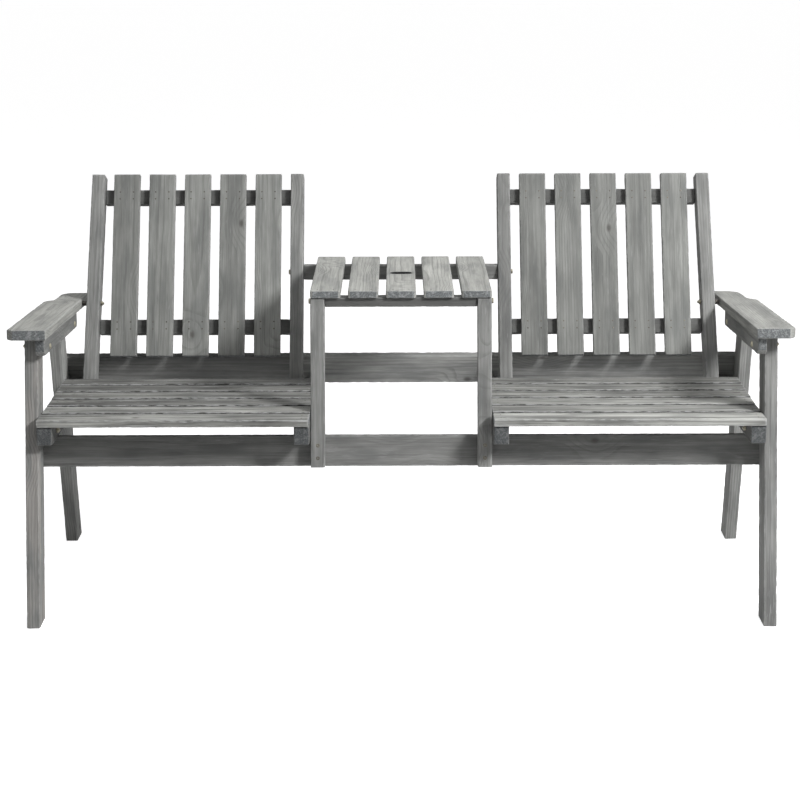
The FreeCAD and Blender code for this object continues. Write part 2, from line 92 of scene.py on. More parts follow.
class BoardSizes(bpy.types.PropertyGroup):
    board_round: FloatProperty(
        name="Board rounding", description="Radius of the frame boards' edges",
        default=0.0025, unit="LENGTH")
    slat_round: FloatProperty(
        name="Slat rounding", description="Radius of the slats' edges",
        default=0.002, unit="LENGTH")
    ring_spacing: FloatProperty(
        name="Ring spacing", description="Distance between the rings of a board's mesh",
        default=0.003, unit="LENGTH")
    armrest_corner: FloatProperty(
        name="Armrest corner", description="Cut at an armrest's outer front corner",
        default=0.012, unit="LENGTH")
    armrest_step_start: FloatProperty(
        name="Armrest step start", description="Distance from the front to the step",
        default=0.402, unit="LENGTH")
    armrest_step_length: FloatProperty(
        name="Armrest step length", description="Length over which the outer edge steps in",
        default=0.042, unit="LENGTH")
    armrest_step_depth: FloatProperty(
        name="Armrest step depth", description="How far the outer edge steps in",
        default=0.019, unit="LENGTH")
    armrest_tail_radius: FloatProperty(
        name="Armrest tail radius", description="Radius of an armrest's outer rear corner",
        default=0.034, unit="LENGTH")
    least_growth: FloatProperty(
        name="Least growth", description="Smallest step in length between the boards of a row",
        default=0.0005, unit="LENGTH")
    table_bay_half_width: FloatProperty(
        name="Table bay half width", description="Distance from the middle to the inner posts",
        default=0.22, unit="LENGTH")
    arm_rail_clip: FloatProperty(
        name="Arm rail clip", description="Cut at the lower corners of the arm rails",
        default=0.009, unit="LENGTH")
    table_slat_corner: FloatProperty(
        name="Table slat corner", description="Radius of the table slats' corners",
        default=0.005, unit="LENGTH")
    pole_hole_length: FloatProperty(
        name="Pole hole length", description="Size of the table's hole from side to side",
        default=0.048, unit="LENGTH")
    pole_hole_width: FloatProperty(
        name="Pole hole width", description="Size of the table's hole from front to back",
        default=0.027, unit="LENGTH")


class WearSizes(bpy.types.PropertyGroup):
    wear_depth: FloatProperty(
        name="Wear depth", description="Most that a worn edge loses",
        default=0.0016, unit="LENGTH")
    chip_size: FloatProperty(
        name="Chip size", description="Length of the dents along the edges",
        default=0.016, unit="LENGTH")
    waviness: FloatProperty(
        name="Waviness", description="How much the sawn faces wander",
        default=0.0005, unit="LENGTH")
    tone_spread: FloatProperty(
        name="Tone spread", description="How much like boards differ in tone",
        default=0.3, min=0.0, max=1.0, subtype="FACTOR")
    seed: IntProperty(
        name="Seed", description="Picks the grain and wear of every board", default=4)


# A board lies in its own axes: x along the grain, y across it, z through its thickness

class Board:
    def __init__(self, node, along, across, start=None, end=None):
        self.node = node
        self.along = along.normalized()
        self.across = (across - self.along * across.dot(self.along)).normalized()
        self.out = self.along.cross(self.across)
        corners = node_points(node)
        start = start or -self.along
        end = end or self.along
        low = [min(corners @ np.array(axis)) for axis in (self.along, self.across, self.out)]
        high = [max(corners @ np.array(axis)) for axis in (self.along, self.across, self.out)]
        self.width = high[1] - low[1]
        self.thickness = high[2] - low[2]
        middle = [low[0], (low[1] + high[1]) / 2, (low[2] + high[2]) / 2]
        self.origin = self.along * middle[0] + self.across * middle[1] + self.out * middle[2]
        self.cuts = [self.cut(normal, corners) for normal in (start, end)]
        self.length = high[0] - low[0]

    def cut(self, normal, corners):
        """Where a sawn end meets the board's middle line, and its slopes across the board."""
        reach = max(corners @ np.array(normal)) - self.origin.dot(normal)
        run = self.along.dot(normal)
        return (reach / run, -self.across.dot(normal) / run, -self.out.dot(normal) / run)

    def place(self):
        axes = Matrix((self.along, self.across, self.out)).transposed().to_4x4()
        return Matrix.Translation(self.origin) @ axes


def node_points(node):
    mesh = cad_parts[node].data
    points = np.empty(len(mesh.vertices) * 3)
    mesh.vertices.foreach_get("co", points)
    return points.reshape(-1, 3)


def leaning(lean):
    """Up along a board that leans back from upright."""
    return UP * math.cos(lean) + BACK * math.sin(lean)


def rearward(drop):
    """Back along a board that drops towards the back."""
    return BACK * math.cos(drop) - UP * math.sin(drop)


# Outlines: how far a board's two edges stand from its middle line at each place along it

OUTLINE_STEPS = 5
BEND_STEPS = 4
TAIL_STEPS = 8


def plain_outline(board):
    half = board.width / 2
    return [(0.0, -half, half), (board.length, -half, half)]


def clipped_outline(board, clip):
    """Both lower corners cut off, on a board whose y axis points up."""
    half = board.width / 2
    edge = [(0.0, clip), (clip, 0.0), (board.length - clip, 0.0), (board.length, clip)]
    return [(x, cut - half, half) for x, cut in edge]


def quarter_turns(steps):
    return [math.radians(90) * k / steps for k in range(steps + 1)]


def round_cornered_outline(board, radius):
    half = board.width / 2
    turns = quarter_turns(OUTLINE_STEPS)
    front = [(radius * (1 - math.cos(t)), radius * (1 - math.sin(t))) for t in turns]
    edge = front + [(board.length - x, cut) for x, cut in reversed(front)]
    return [(x, -half + cut, half - cut) for x, cut in edge]


def armrest_outline(board, sizes, side):
    """Outer edge with a cut corner, a step and a round tail. The inner edge is straight."""
    half = board.width / 2
    step = sizes.armrest_step_length
    depth = sizes.armrest_step_depth
    radius = (step ** 2 + depth ** 2) / (4 * depth)
    sweep = math.asin(step / 2 / radius)
    outer = [(0.0, half - sizes.armrest_corner), (sizes.armrest_corner, half)]
    middle = sizes.armrest_step_start + step / 2
    bends = [sweep * k / BEND_STEPS for k in range(BEND_STEPS + 1)]
    outer += [(sizes.armrest_step_start + radius * math.sin(t), half - radius * (1 - math.cos(t)))
              for t in bends]
    first_bend = outer[-BEND_STEPS - 1:-1]
    outer += [(2 * middle - x, 2 * half - depth - y) for x, y in reversed(first_bend)]
    tail = sizes.armrest_tail_radius
    outer += [(board.length - tail * (1 - math.sin(t)), half - depth - tail * (1 - math.cos(t)))
              for t in quarter_turns(TAIL_STEPS)]
    if side == "right":
        return [(x, -half, y) for x, y in outer]
    return [(x, -y, half) for x, y in outer]


# The mesh of a board: rings from end to end, closed by two sawn ends

CORNER_STEPS = 3
SHOULDER = 0.003
# The least radius of a corner, and the most of the room beside it that a shoulder takes
LEAST_CORNER = 0.06
SHOULDER_ROOM = 0.9
BOARD_MARKS = ("grain_place", "worn", "sawn", "flank")
# How many corner radii the wear reaches from an edge
WORN_WIDTH = 2.0


def ring_points(low, high, half, radius, inset):
    """One ring, anticlockwise round the grain, with a shoulder beside each rounded corner."""
    low, high, half = low + inset, high - inset, half - inset
    corner = max(radius - inset, radius * LEAST_CORNER)
    room = min(half, (high - low) / 2) - corner
    shoulder = corner + min(SHOULDER, room * SHOULDER_ROOM)
    points = []
    for quarter, (y, z) in enumerate(((high, half), (low, half), (low, -half), (high, -half))):
        toward_y = -1 if y == high else 1
        toward_z = -1 if z > 0 else 1
        before = (y, z + toward_z * shoulder) if quarter % 2 == 0 else (y + toward_y * shoulder, z)
        after = (y + toward_y * shoulder, z) if quarter % 2 == 0 else (y, z + toward_z * shoulder)
        points.append(before)
        for k in range(CORNER_STEPS + 1):
            turn = math.radians(90) * (quarter + k / CORNER_STEPS)
            points.append((y + toward_y * corner + corner * math.cos(turn),
                           z + toward_z * corner + corner * math.sin(turn)))
        points.append(after)
    return points


def ring_places(board, outline, radius, spacing):
    """Places of the rings along the board, with how far each one is drawn in at the ends."""
    ends = [(radius * (1 - math.cos(t)), radius * (1 - math.sin(t)))
            for t in quarter_turns(CORNER_STEPS)]
    inside = [x for x, _, _ in outline if radius < x < board.length - radius]
    count = max(2, round((board.length - 2 * radius) / spacing))
    even = [radius + (board.length - 2 * radius) * k / count for k in range(1, count)]
    kept = [x for x in even if all(abs(x - other) > spacing / 4 for other in inside)]
    places = ends + [(x, 0.0) for x in sorted(inside + kept)]
    return places + [(board.length - x, inset) for x, inset in reversed(ends)]


def board_mesh(board, outline, radius, spacing):
    xs, lows, highs = zip(*outline)
    verts = []
    places = ring_places(board, outline, radius, spacing)
    for x, inset in places:
        share = x / board.length
        ring = ring_points(np.interp(x, xs, lows), np.interp(x, xs, highs),
                           board.thickness / 2, radius, inset)
        for y, z in ring:
            first, last = [at + y * by_y + z * by_z for at, by_y, by_z in board.cuts]
            verts.append((first + (last - first) * share, y, z))
    size = len(verts) // len(places)
    faces = [tuple(reversed(range(size)))]
    for start in range(0, len(verts) - size, size):
        for k in range(size):
            follow = (k + 1) % size
            faces.append((start + k, start + follow, start + size + follow, start + size + k))
    faces.append(tuple(range(len(verts) - size, len(verts))))
    mesh = bpy.data.meshes.new(board.node)
    mesh.from_pydata(verts, [], faces)
    mark_board(mesh, board, outline, radius)
    return mesh


def mark_board(mesh, board, outline, radius):
    """Stores each point's place in the grain, and how near an edge, end or flank it is."""
    points = np.empty(len(mesh.vertices) * 3)
    mesh.vertices.foreach_get("co", points)
    points = points.reshape(-1, 3)
    x, y, z = points.T
    xs, lows, highs = zip(*outline)
    first, last = [at + y * by_y + z * by_z for at, by_y, by_z in board.cuts]
    even_x = (x - first) / (last - first) * board.length
    from_end = np.minimum(even_x, board.length - even_x)
    from_flank = np.minimum(y - np.interp(even_x, xs, lows), np.interp(even_x, xs, highs) - y)
    room = np.sort(np.stack([from_end, from_flank, board.thickness / 2 - np.abs(z)]), axis=0)
    store(mesh, "grain_place", "FLOAT_VECTOR", points)
    for name, distance, reach in zip(BOARD_MARKS[1:], (room[1], from_end, from_flank),
                                     (radius * WORN_WIDTH, radius, radius)):
        store(mesh, name, "FLOAT", 1 - smooth_share(distance / reach))


def smooth_share(share):
    share = np.clip(share, 0, 1)
    return share * share * (3 - 2 * share)


def store(mesh, name, kind, values, domain="POINT"):
    attribute = mesh.attributes.new(name, kind, domain)
    key = "vector" if kind == "FLOAT_VECTOR" else "value"
    attribute.data.foreach_set(key, np.asarray(values, np.float32).ravel())


# Node trees. A Value is what a node puts out, and each sum made with it adds a node to its
# tree

class Value:
    def __init__(self, socket):
        self.socket = socket
        self.tree = socket.id_data

    def __add__(self, other):
        return maths(self.tree, "ADD", self, other)

    def __sub__(self, other):
        return maths(self.tree, "SUBTRACT", self, other)

    def __mul__(self, other):
        return maths(self.tree, "MULTIPLY", self, other)

    def __truediv__(self, other):
        return maths(self.tree, "DIVIDE", self, other)

    def __pow__(self, other):
        return maths(self.tree, "POWER", self, other)


def link(value, socket):
    """Leads a value to a socket, or sets the socket to a plain number or colour."""
    if isinstance(value, Value):
        value.tree.links.new(value.socket, socket)
    else:
        socket.default_value = value


def add_node(tree, kind, inputs=None, **settings):
    node = tree.nodes.new(kind)
    for key, setting in settings.items():
        setattr(node, key, setting)
    for key, value in (inputs or {}).items():
        link(value, node.inputs[key])
    return node


def from_node(tree, kind, inputs=None, output=0, **settings):
    """Adds a node and gives the value of one of its outputs."""
    return Value(add_node(tree, kind, inputs, **settings).outputs[output])


def maths(tree, operation, first, second=0.0, clamp=False):
    return from_node(tree, "ShaderNodeMath", {0: first, 1: second}, operation=operation,
                     use_clamp=clamp)


def vector_maths(tree, operation, first, second):
    return from_node(tree, "ShaderNodeVectorMath", {0: first, 1: second}, operation=operation)


def ramp(value, low, high, to_low=0.0, to_high=1.0):
    """Runs smoothly from to_low to to_high while a value goes from low to high."""
    return from_node(value.tree, "ShaderNodeMapRange",
                     {"Value": value, "From Min": low, "From Max": high,
                      "To Min": to_low, "To Max": to_high},
                     "Result", interpolation_type="SMOOTHSTEP")


def noise(tree, place, scale=1.0, detail=3.0, roughness=0.5):
    return from_node(tree, "ShaderNodeTexNoise",
                     {"Vector": place, "Scale": scale, "Detail": detail, "Roughness": roughness})


def open_tree(name, kind, inputs, outputs):
    """A new tree with named inputs and outputs, the inputs' values and a way to put out."""
    tree = bpy.data.node_groups.new(name, kind)
    for in_out, listed in (("INPUT", inputs), ("OUTPUT", outputs)):
        for socket_name, socket_kind, *default in listed:
            socket = tree.interface.new_socket(socket_name, in_out=in_out,
                                               socket_type="NodeSocket" + socket_kind)
            if default:
                socket.default_value = default[0]
    given = tree.nodes.new("NodeGroupInput").outputs
    result = tree.nodes.new("NodeGroupOutput").inputs

    def put_out(output, value):
        link(value, result[output])

    return tree, {row[0]: Value(given[row[0]]) for row in inputs}, put_out


def named(tree, name, kind="FLOAT"):
    return from_node(tree, "GeometryNodeInputNamedAttribute", {"Name": name}, "Attribute",
                     data_type=kind)


def stored(geometry, domain, kind="FLOAT", **values):
    """Stores each value on a geometry as an attribute of the same name."""
    for name, value in values.items():
        geometry = from_node(geometry.tree, "GeometryNodeStoreNamedAttribute",
                             {"Geometry": geometry, "Name": name, "Value": value},
                             data_type=kind, domain=domain)
    return geometry


def vector(tree, **parts):
    return from_node(tree, "ShaderNodeCombineXYZ", parts)


def random_near(tree, middle, spread, seed):
    """A number for each instance, at most half the spread away from the middle."""
    pick = from_node(tree, "FunctionNodeRandomValue", {"Seed": seed}, 1, data_type="FLOAT")
    return middle + (pick - 0.5) * spread


def realized(geometry):
    return from_node(geometry.tree, "GeometryNodeRealizeInstances", {"Geometry": geometry})


def covered(geometry, material):
    return from_node(geometry.tree, "GeometryNodeSetMaterial",
                     {"Geometry": geometry, "Material": material})


BOARDS_IN_A_ROW = "boards in a row"
BOARD_INPUTS = [
    ("Board", "Geometry"), ("Count", "Int", 1), ("Spacing", "Float", 0.0),
    ("Even Boards", "Float", 0.0), ("Stretch", "Float", 0.0), ("Left Out", "Int", -1),
    ("Tone", "Float", 0.5), ("Tone Spread", "Float", 0.2), ("Tone Drop", "Float", 0.0),
    ("Weathering", "Float", 0.2), ("Grime", "Float", 0.0), ("Warmth", "Float", 0.0),
    ("Wear Depth", "Float", 0.0015), ("Chip Size", "Float", 0.015),
    ("Waviness", "Float", 0.0005), ("Seed", "Int", 0), ("Material", "Material")]
# Every board is cut from its own place in the wood, between these two
LEAST_PLACE = (0.0, -0.045, 0.02)
MOST_PLACE = (40.0, 0.045, 0.07)
# Chips lie where their pattern is above the first share, and are deepest at the second
CHIP_SHARES = (0.42, 0.78)
WAVES_PER_METRE = 9.0


def boards_tree():
    """One board, or a row of like boards, each with its own grain and worn edges."""
    if BOARDS_IN_A_ROW in bpy.data.node_groups:
        return bpy.data.node_groups[BOARDS_IN_A_ROW]
    tree, given, put_out = open_tree(BOARDS_IN_A_ROW, "GeometryNodeTree", BOARD_INPUTS,
                                     [("Boards", "Geometry")])
    index = from_node(tree, "GeometryNodeInputIndex")
    line = from_node(tree, "GeometryNodeMeshLine",
                     {"Count": given["Count"], "Offset": vector(tree, Y=given["Spacing"])},
                     mode="OFFSET")
    past = maths(tree, "MAXIMUM", index - given["Even Boards"], 0.0)
    line = stored(line, "POINT", longer=past * given["Stretch"] + 1.0,
                  set_back=maths(tree, "MINIMUM", index, 1.0),
                  tone_drop=index * given["Tone Drop"])
    skipped = from_node(tree, "FunctionNodeCompare", {2: index, 3: given["Left Out"]},
                        data_type="INT", operation="EQUAL")
    kept = from_node(tree, "GeometryNodeDeleteGeometry",
                     {"Geometry": line, "Selection": skipped}, domain="POINT")
    scale = vector(tree, X=named(tree, "longer"), Y=1.0, Z=1.0)
    rows = from_node(tree, "GeometryNodeInstanceOnPoints",
                     {"Points": kept, "Instance": given["Board"], "Scale": scale})
    place = from_node(tree, "FunctionNodeRandomValue",
                      {0: LEAST_PLACE, 1: MOST_PLACE, "Seed": given["Seed"]},
                      data_type="FLOAT_VECTOR")
    rows = stored(rows, "INSTANCE", "FLOAT_VECTOR", board_place=place)
    tone = random_near(tree, given["Tone"], given["Tone Spread"], given["Seed"] + 11.0)
    rows = stored(rows, "INSTANCE", board_tone=tone - named(tree, "tone_drop"),
                  weathering=given["Weathering"], warmth=given["Warmth"])
    boards = realized(rows)
    moved = vector_maths(tree, "ADD", named(tree, "grain_place", "FLOAT_VECTOR"),
                         named(tree, "board_place", "FLOAT_VECTOR"))
    boards = stored(boards, "POINT", "FLOAT_VECTOR", grain_place=moved)

    def pattern(per_metre, detail):
        position = from_node(tree, "GeometryNodeInputPosition")
        return from_node(tree, "ShaderNodeTexNoise",
                         {"Vector": position, "W": given["Seed"], "Scale": per_metre,
                          "Detail": detail}, noise_dimensions="4D")

    chips = pattern(maths(tree, "DIVIDE", 1.0, given["Chip Size"]), 3.0)
    loss = ramp(chips, *CHIP_SHARES) * named(tree, "worn")
    depth = loss * given["Wear Depth"] + pattern(WAVES_PER_METRE, 2.0) * given["Waviness"]
    # Painted shade on the flanks of every board but the first of a row, standing in for the shade
    # in the gaps between the slats
    shaded_flank = named(tree, "flank") * named(tree, "set_back")
    boards = stored(boards, "POINT", chipped=loss, grime=shaded_flank * given["Grime"])
    inward = from_node(tree, "ShaderNodeVectorMath",
                       {0: from_node(tree, "GeometryNodeInputNormal"), "Scale": depth * -1.0},
                       operation="SCALE")
    boards = from_node(tree, "GeometryNodeSetPosition",
                       {"Geometry": boards, "Offset": inward})
    put_out("Boards", covered(boards, given["Material"]))
    return tree


def socket_id(tree, name):
    return next(item.identifier for item in tree.interface.items_tree
                if item.item_type == "SOCKET" and item.in_out == "INPUT" and item.name == name)


def grown(context, mesh, tree, values):
    """Runs a node tree on a mesh and keeps what it makes as a plain mesh."""
    raw = bpy.data.objects.new("raw", mesh)
    context.scene.collection.objects.link(raw)
    modifier = raw.modifiers.new(tree.name, "NODES")
    modifier.node_group = tree
    for name, value in values.items():
        modifier[socket_id(tree, name)] = value
    raw.modifiers.new("weighted normals", "WEIGHTED_NORMAL").keep_sharp = True
    result = evaluated_mesh(context, raw)
    raw.modifiers.clear()
    bpy.data.objects.remove(raw)
    return result


def evaluated_mesh(context, obj):
    context.view_layer.update()
    graph = context.evaluated_depsgraph_get()
    return bpy.data.meshes.new_from_object(obj.evaluated_get(graph), depsgraph=graph)


def look(seed, tone, weathering, grime=0.0, warmth=0.0, tone_drop=0.0):
    """How light a board is, how worn, how much painted shade lies on its flanks between it and its
    neighbours, and how brown.

    The seed picks its grain. Tone drop is how much darker each board of a row is than the one
    before it, partly as painted shade towards the back of a seat.
    """
    return {"Seed": seed, "Tone": tone, "Weathering": weathering, "Grime": grime,
            "Warmth": warmth, "Tone Drop": tone_drop}


# The look of each board and of each row of boards
LOOKS = {
    "front_leg_right": look(10, 0.5, 0.2),
    "front_leg_left": look(11, 0.68, 0.2, warmth=0.3),
    "rear_leg_right": look(20, 0.78, 0.1),
    # The left rear leg's palest tone is partly painted light, for light bounced from the floor onto
    # its lower part
    "rear_leg_left": look(21, 1.0, 0.1),
    "arm_rail_right": look(30, 0.5, 0.1),
    "arm_rail_left": look(31, 0.5, 0.1),
    "armrest_right": look(40, 0.75, 0.0),
    "armrest_left": look(41, 0.92, 0.0),
    "seat_rail_outer_right": look(50, 0.0, 0.1),
    "seat_rail_inner_right": look(51, 0.0, 0.1),
    "seat_rail_outer_left": look(52, 0.0, 0.1),
    "seat_rail_inner_left": look(53, 0.0, 0.1),
    "front_lower_rail": look(60, 0.35, 0.15),
    # The rear wide rail's pale tone is partly painted light, for the light on its middle between
    # the seats
    "rear_wide_rail": look(61, 0.95, 0.1),
    "back_post_outer_right": look(70, 0.5, 0.1),
    "back_post_outer_left": look(71, 0.62, 0.1),
    "back_post_inner_right": look(74, 0.36, 0.1),
    "back_post_inner_left": look(75, 0.57, 0.1),
    "back_rail_upper_right": look(80, 0.0, 0.0),
    "back_rail_lower_right": look(81, 0.0, 0.0),
    "back_rail_upper_left": look(82, 0.0, 0.0),
    "back_rail_lower_left": look(83, 0.0, 0.0),
    "back_slats_right": look(90, 0.46, 0.1),
    "back_slats_left": look(91, 0.46, 0.1),
    # Both seats carry painted shade on the slats' flanks in the gaps, and their tone drop darkens
    # each slat towards the back, partly as painted shade from the table, backrest and armrests and
    # partly as the boards' own tone
    "seat_slats_right": look(100, 0.66, 0.8, grime=1.0, tone_drop=0.05),
    "seat_slats_left": look(101, 0.62, 1.0, grime=1.0, tone_drop=0.13),
    "table_leg_right": look(110, 0.5, 0.15),
    "table_leg_left": look(111, 0.5, 0.15),
    # The table's front rail is given the darkest tone partly as painted shade under the table top
    "table_front_rail": look(120, 0.0, 0.0),
    "table_rear_rail": look(121, 0.3, 0.1),
    "table_slats": look(130, 0.9, 0.0),
    "table_middle_slat": look(131, 0.95, 0.0),
}
# How far apart the boards' seeds lie from one bench to the next
GRAINS_PER_SEED = 1000


def timber_piece(context, name, board, mesh, nodes, finish, looks, row=None):
    """Turns a board's mesh into a finished piece that stands for its CAD nodes."""
    wear = context.scene.bench_wear
    values = {
        "Tone Spread": wear.tone_spread if row else 0.0,
        "Wear Depth": wear.wear_depth, "Chip Size": wear.chip_size, "Waviness": wear.waviness,
        "Material": stained_wood(context, finish),
    }
    values.update(looks)
    values.update(row or {})
    values["Seed"] += wear.seed * GRAINS_PER_SEED
    mesh.polygons.foreach_set("use_smooth", [True] * len(mesh.polygons))
    grown_mesh = grown(context, mesh, boards_tree(), values)
    grown_mesh.transform(board.place())
    return finished_piece(context, name, grown_mesh, nodes)


def finished_piece(context, name, mesh, nodes):
    mesh.name = name
    piece = bpy.data.objects.new(name, mesh)
    context.scene.collection.objects.link(piece)
    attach(piece, "root")
    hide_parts(*nodes)
    return piece


def single_board(context, board, finish="frame_boards", radius=None, outline=None):
    sizes = context.scene.bench_boards
    mesh = board_mesh(board, outline or plain_outline(board), radius or sizes.board_round,
                      sizes.ring_spacing)
    return timber_piece(context, board.node + "_board", board, mesh, [board.node], finish,
                        LOOKS[board.node])


def board_row(context, name, nodes, along, across, finish, left_out=-1, corner=0.0):
    """A row of like boards from the first node to the last. The later ones may grow longer."""
    sizes = context.scene.bench_boards
    boards = [Board(node, along, across) for node in nodes]
    first, last = boards[0], boards[-1]
    spacing = (last.origin - first.origin).dot(first.across) / (len(nodes) - 1)
    growth = last.length - boards[-2].length
    row = {"Count": len(nodes), "Spacing": spacing, "Left Out": left_out}
    if growth > sizes.least_growth:
        row["Stretch"] = growth / first.length
        row["Even Boards"] = len(nodes) - 1 - (last.length - first.length) / growth
    outline = round_cornered_outline(first, corner) if corner else plain_outline(first)
    mesh = board_mesh(first, outline, sizes.slat_round, sizes.ring_spacing)
    stands_for = [node for k, node in enumerate(nodes) if k != left_out]
    return timber_piece(context, name, first, mesh, stands_for, finish, LOOKS[name], row)


# Stained wood

GRAIN_MARKS = ("Rings", "Fibres", "Knots", "Blotches", "Bands", "Cracks", "Streaks", "Scratches")
GRAIN_INPUTS = [("Place", "Vector"), ("Ring Width", "Float", 0.0055), ("Swirl", "Float", 0.016),
                ("Knot Size", "Float", 0.008)]
# How often each pattern comes in a metre along the grain and across it, and how much fine
# detail it has
PATTERNS = {
    "wander": (2.2, 9.0, 3.0), "wobble": (9.0, 60.0, 3.0), "strong rings": (2.0, 40.0, 3.0),
    "fibres": (9.0, 420.0, 4.0), "fine fibres": (40.0, 1500.0, 2.0),
    "knotty places": (1.3, 0.0, 0.0), "blotches": (7.0, 26.0, 3.0), "bands": (2.6, 75.0, 4.0),
    "cracks": (3.4, 330.0, 2.0), "cracked places": (8.0, 20.0, 2.0),
    "streaks": (5.0, 190.0, 3.0), "scratches": (26.0, 520.0, 2.0),
    "scratched places": (11.0, 30.0, 2.0),
}
# How rough that detail is, and where it is rougher
PLAIN_ROUGHNESS = 0.55
PATTERN_ROUGHNESS = {"fibres": 0.6, "bands": 0.6, "streaks": 0.65, "scratches": 0.7}
FRAYS_PER_METRE = (60.0, 260.0, 260.0)
PORES_PER_METRE = 640.0
MOTTLES_PER_METRE = 150.0
KNOTS_PER_METRE = 5.5
KNOT_STRETCH = (0.6, 1.0, 1.0)
# In metres: how near a knot the rings bend, by how much, and how much they wobble elsewhere
KNOT_REACH = 0.045
KNOT_PULL = 0.016
RING_WOBBLE = 0.0016
FIBRE_SHARE = 0.65
# Shares of the stain's colour
DARKEST_BOARD = 0.4
PALEST_BOARD = 1.6
LATE_WOOD = 0.45
DARK_FIBRE = 0.38
CRACK_FLOOR = 0.15
# Painted shade in the gaps between slats and on the rear rail behind the seats
PAINTED_SHADE_TONE = 0.16
DARKEST_END = 0.55
PALEST_END = 1.35
LATE_WOOD_END = 0.45
# Painted shade on the walls of the pole hole
BORE_PAINTED_SHADE = 0.12
# How strong each mark is on a fresh board and on a weathered one
BLOTCHED = (0.18, 0.35)
BANDED = (0.07, 0.5)
STREAKED = (0.04, 0.6)
CRACKED = (0.2, 0.85)
SCRATCHED = (0.12, 0.9)
FRAYED = (0.25, 1.0)
CHIPPED = (0.3, 1.0)
# How strong other marks are on any board
# How strong the painted shade is
PAINTED_SHADE_STRENGTH = 0.85
SAWN = 0.92
RINGS_ON_ENDS = 0.6
END_TONE_SPREAD = 0.35
ROUGHNESS_SPREAD = 0.08
# How deep the relief is in metres, and the share of it by which each mark stands up or lies in
RELIEF = 0.0012
RAISED_FIBRES = 0.6
SUNK_RINGS = 0.35
SUNK_CRACKS = 0.9


def grain_group():
    """Growth rings, fibres, cracks, knots, stains and pale marks, from a place in the grain."""
    name = "softwood grain"
    if name in bpy.data.node_groups:
        return bpy.data.node_groups[name]
    tree, given, put_out = open_tree(name, "ShaderNodeTree", GRAIN_INPUTS,
                                     [(mark, "Float") for mark in GRAIN_MARKS])

    def scaled(scale):
        return vector_maths(tree, "MULTIPLY", given["Place"], scale)

    def pattern(kind):
        along, across, detail = PATTERNS[kind]
        return noise(tree, scaled((along, across, across)), 1.0, detail,
                     PATTERN_ROUGHNESS.get(kind, PLAIN_ROUGHNESS))

    def places(kind, low, high):
        return ramp(pattern(kind), low, high)

    from_knot = from_node(tree, "ShaderNodeTexVoronoi",
                          {"Vector": scaled(KNOT_STRETCH), "Scale": KNOTS_PER_METRE},
                          "Distance", voronoi_dimensions="2D") / KNOTS_PER_METRE
    split = add_node(tree, "ShaderNodeSeparateXYZ", {0: given["Place"]}).outputs
    radius = maths(tree, "SQRT", Value(split["Y"]) ** 2.0 + Value(split["Z"]) ** 2.0)
    radius += (pattern("wander") - 0.5) * given["Swirl"]
    radius += (pattern("wobble") - 0.5) * RING_WOBBLE
    radius += ramp(from_knot, 0.0, KNOT_REACH, 1.0, 0.0) * KNOT_PULL
    phase = maths(tree, "FRACT", radius / given["Ring Width"])
    late_wood = ramp(phase, 0.5, 0.9) * ramp(phase, 1.0, 0.93)
    core = ramp(from_knot, given["Knot Size"] * 0.2, given["Knot Size"], 0.8, 0.0)
    put_out("Rings", late_wood * ramp(pattern("strong rings"), 0.3, 0.6, 0.35, 1.0))
    put_out("Fibres", pattern("fibres") * FIBRE_SHARE
            + pattern("fine fibres") * (1 - FIBRE_SHARE))
    put_out("Knots", core * places("knotty places", 0.5, 0.56))
    put_out("Blotches", pattern("blotches"))
    put_out("Bands", places("bands", 0.34, 0.66))
    put_out("Cracks", places("cracks", 0.6, 0.68) * places("cracked places", 0.4, 0.6))
    put_out("Streaks", places("streaks", 0.55, 0.72))
    put_out("Scratches", places("scratches", 0.6, 0.68) * places("scratched places", 0.5, 0.6))
    return tree


def attribute(tree, name, output="Fac"):
    return from_node(tree, "ShaderNodeAttribute", output=output, attribute_name=name)


def mixed(tree, share, first, second, blend="MIX"):
    return from_node(tree, "ShaderNodeMix", {0: share, 6: first, 7: second}, 2,
                     data_type="RGBA", blend_type=blend)


def shade(colour, share=1.0):
    return tuple(part * share for part in colour[:3]) + (1.0,)


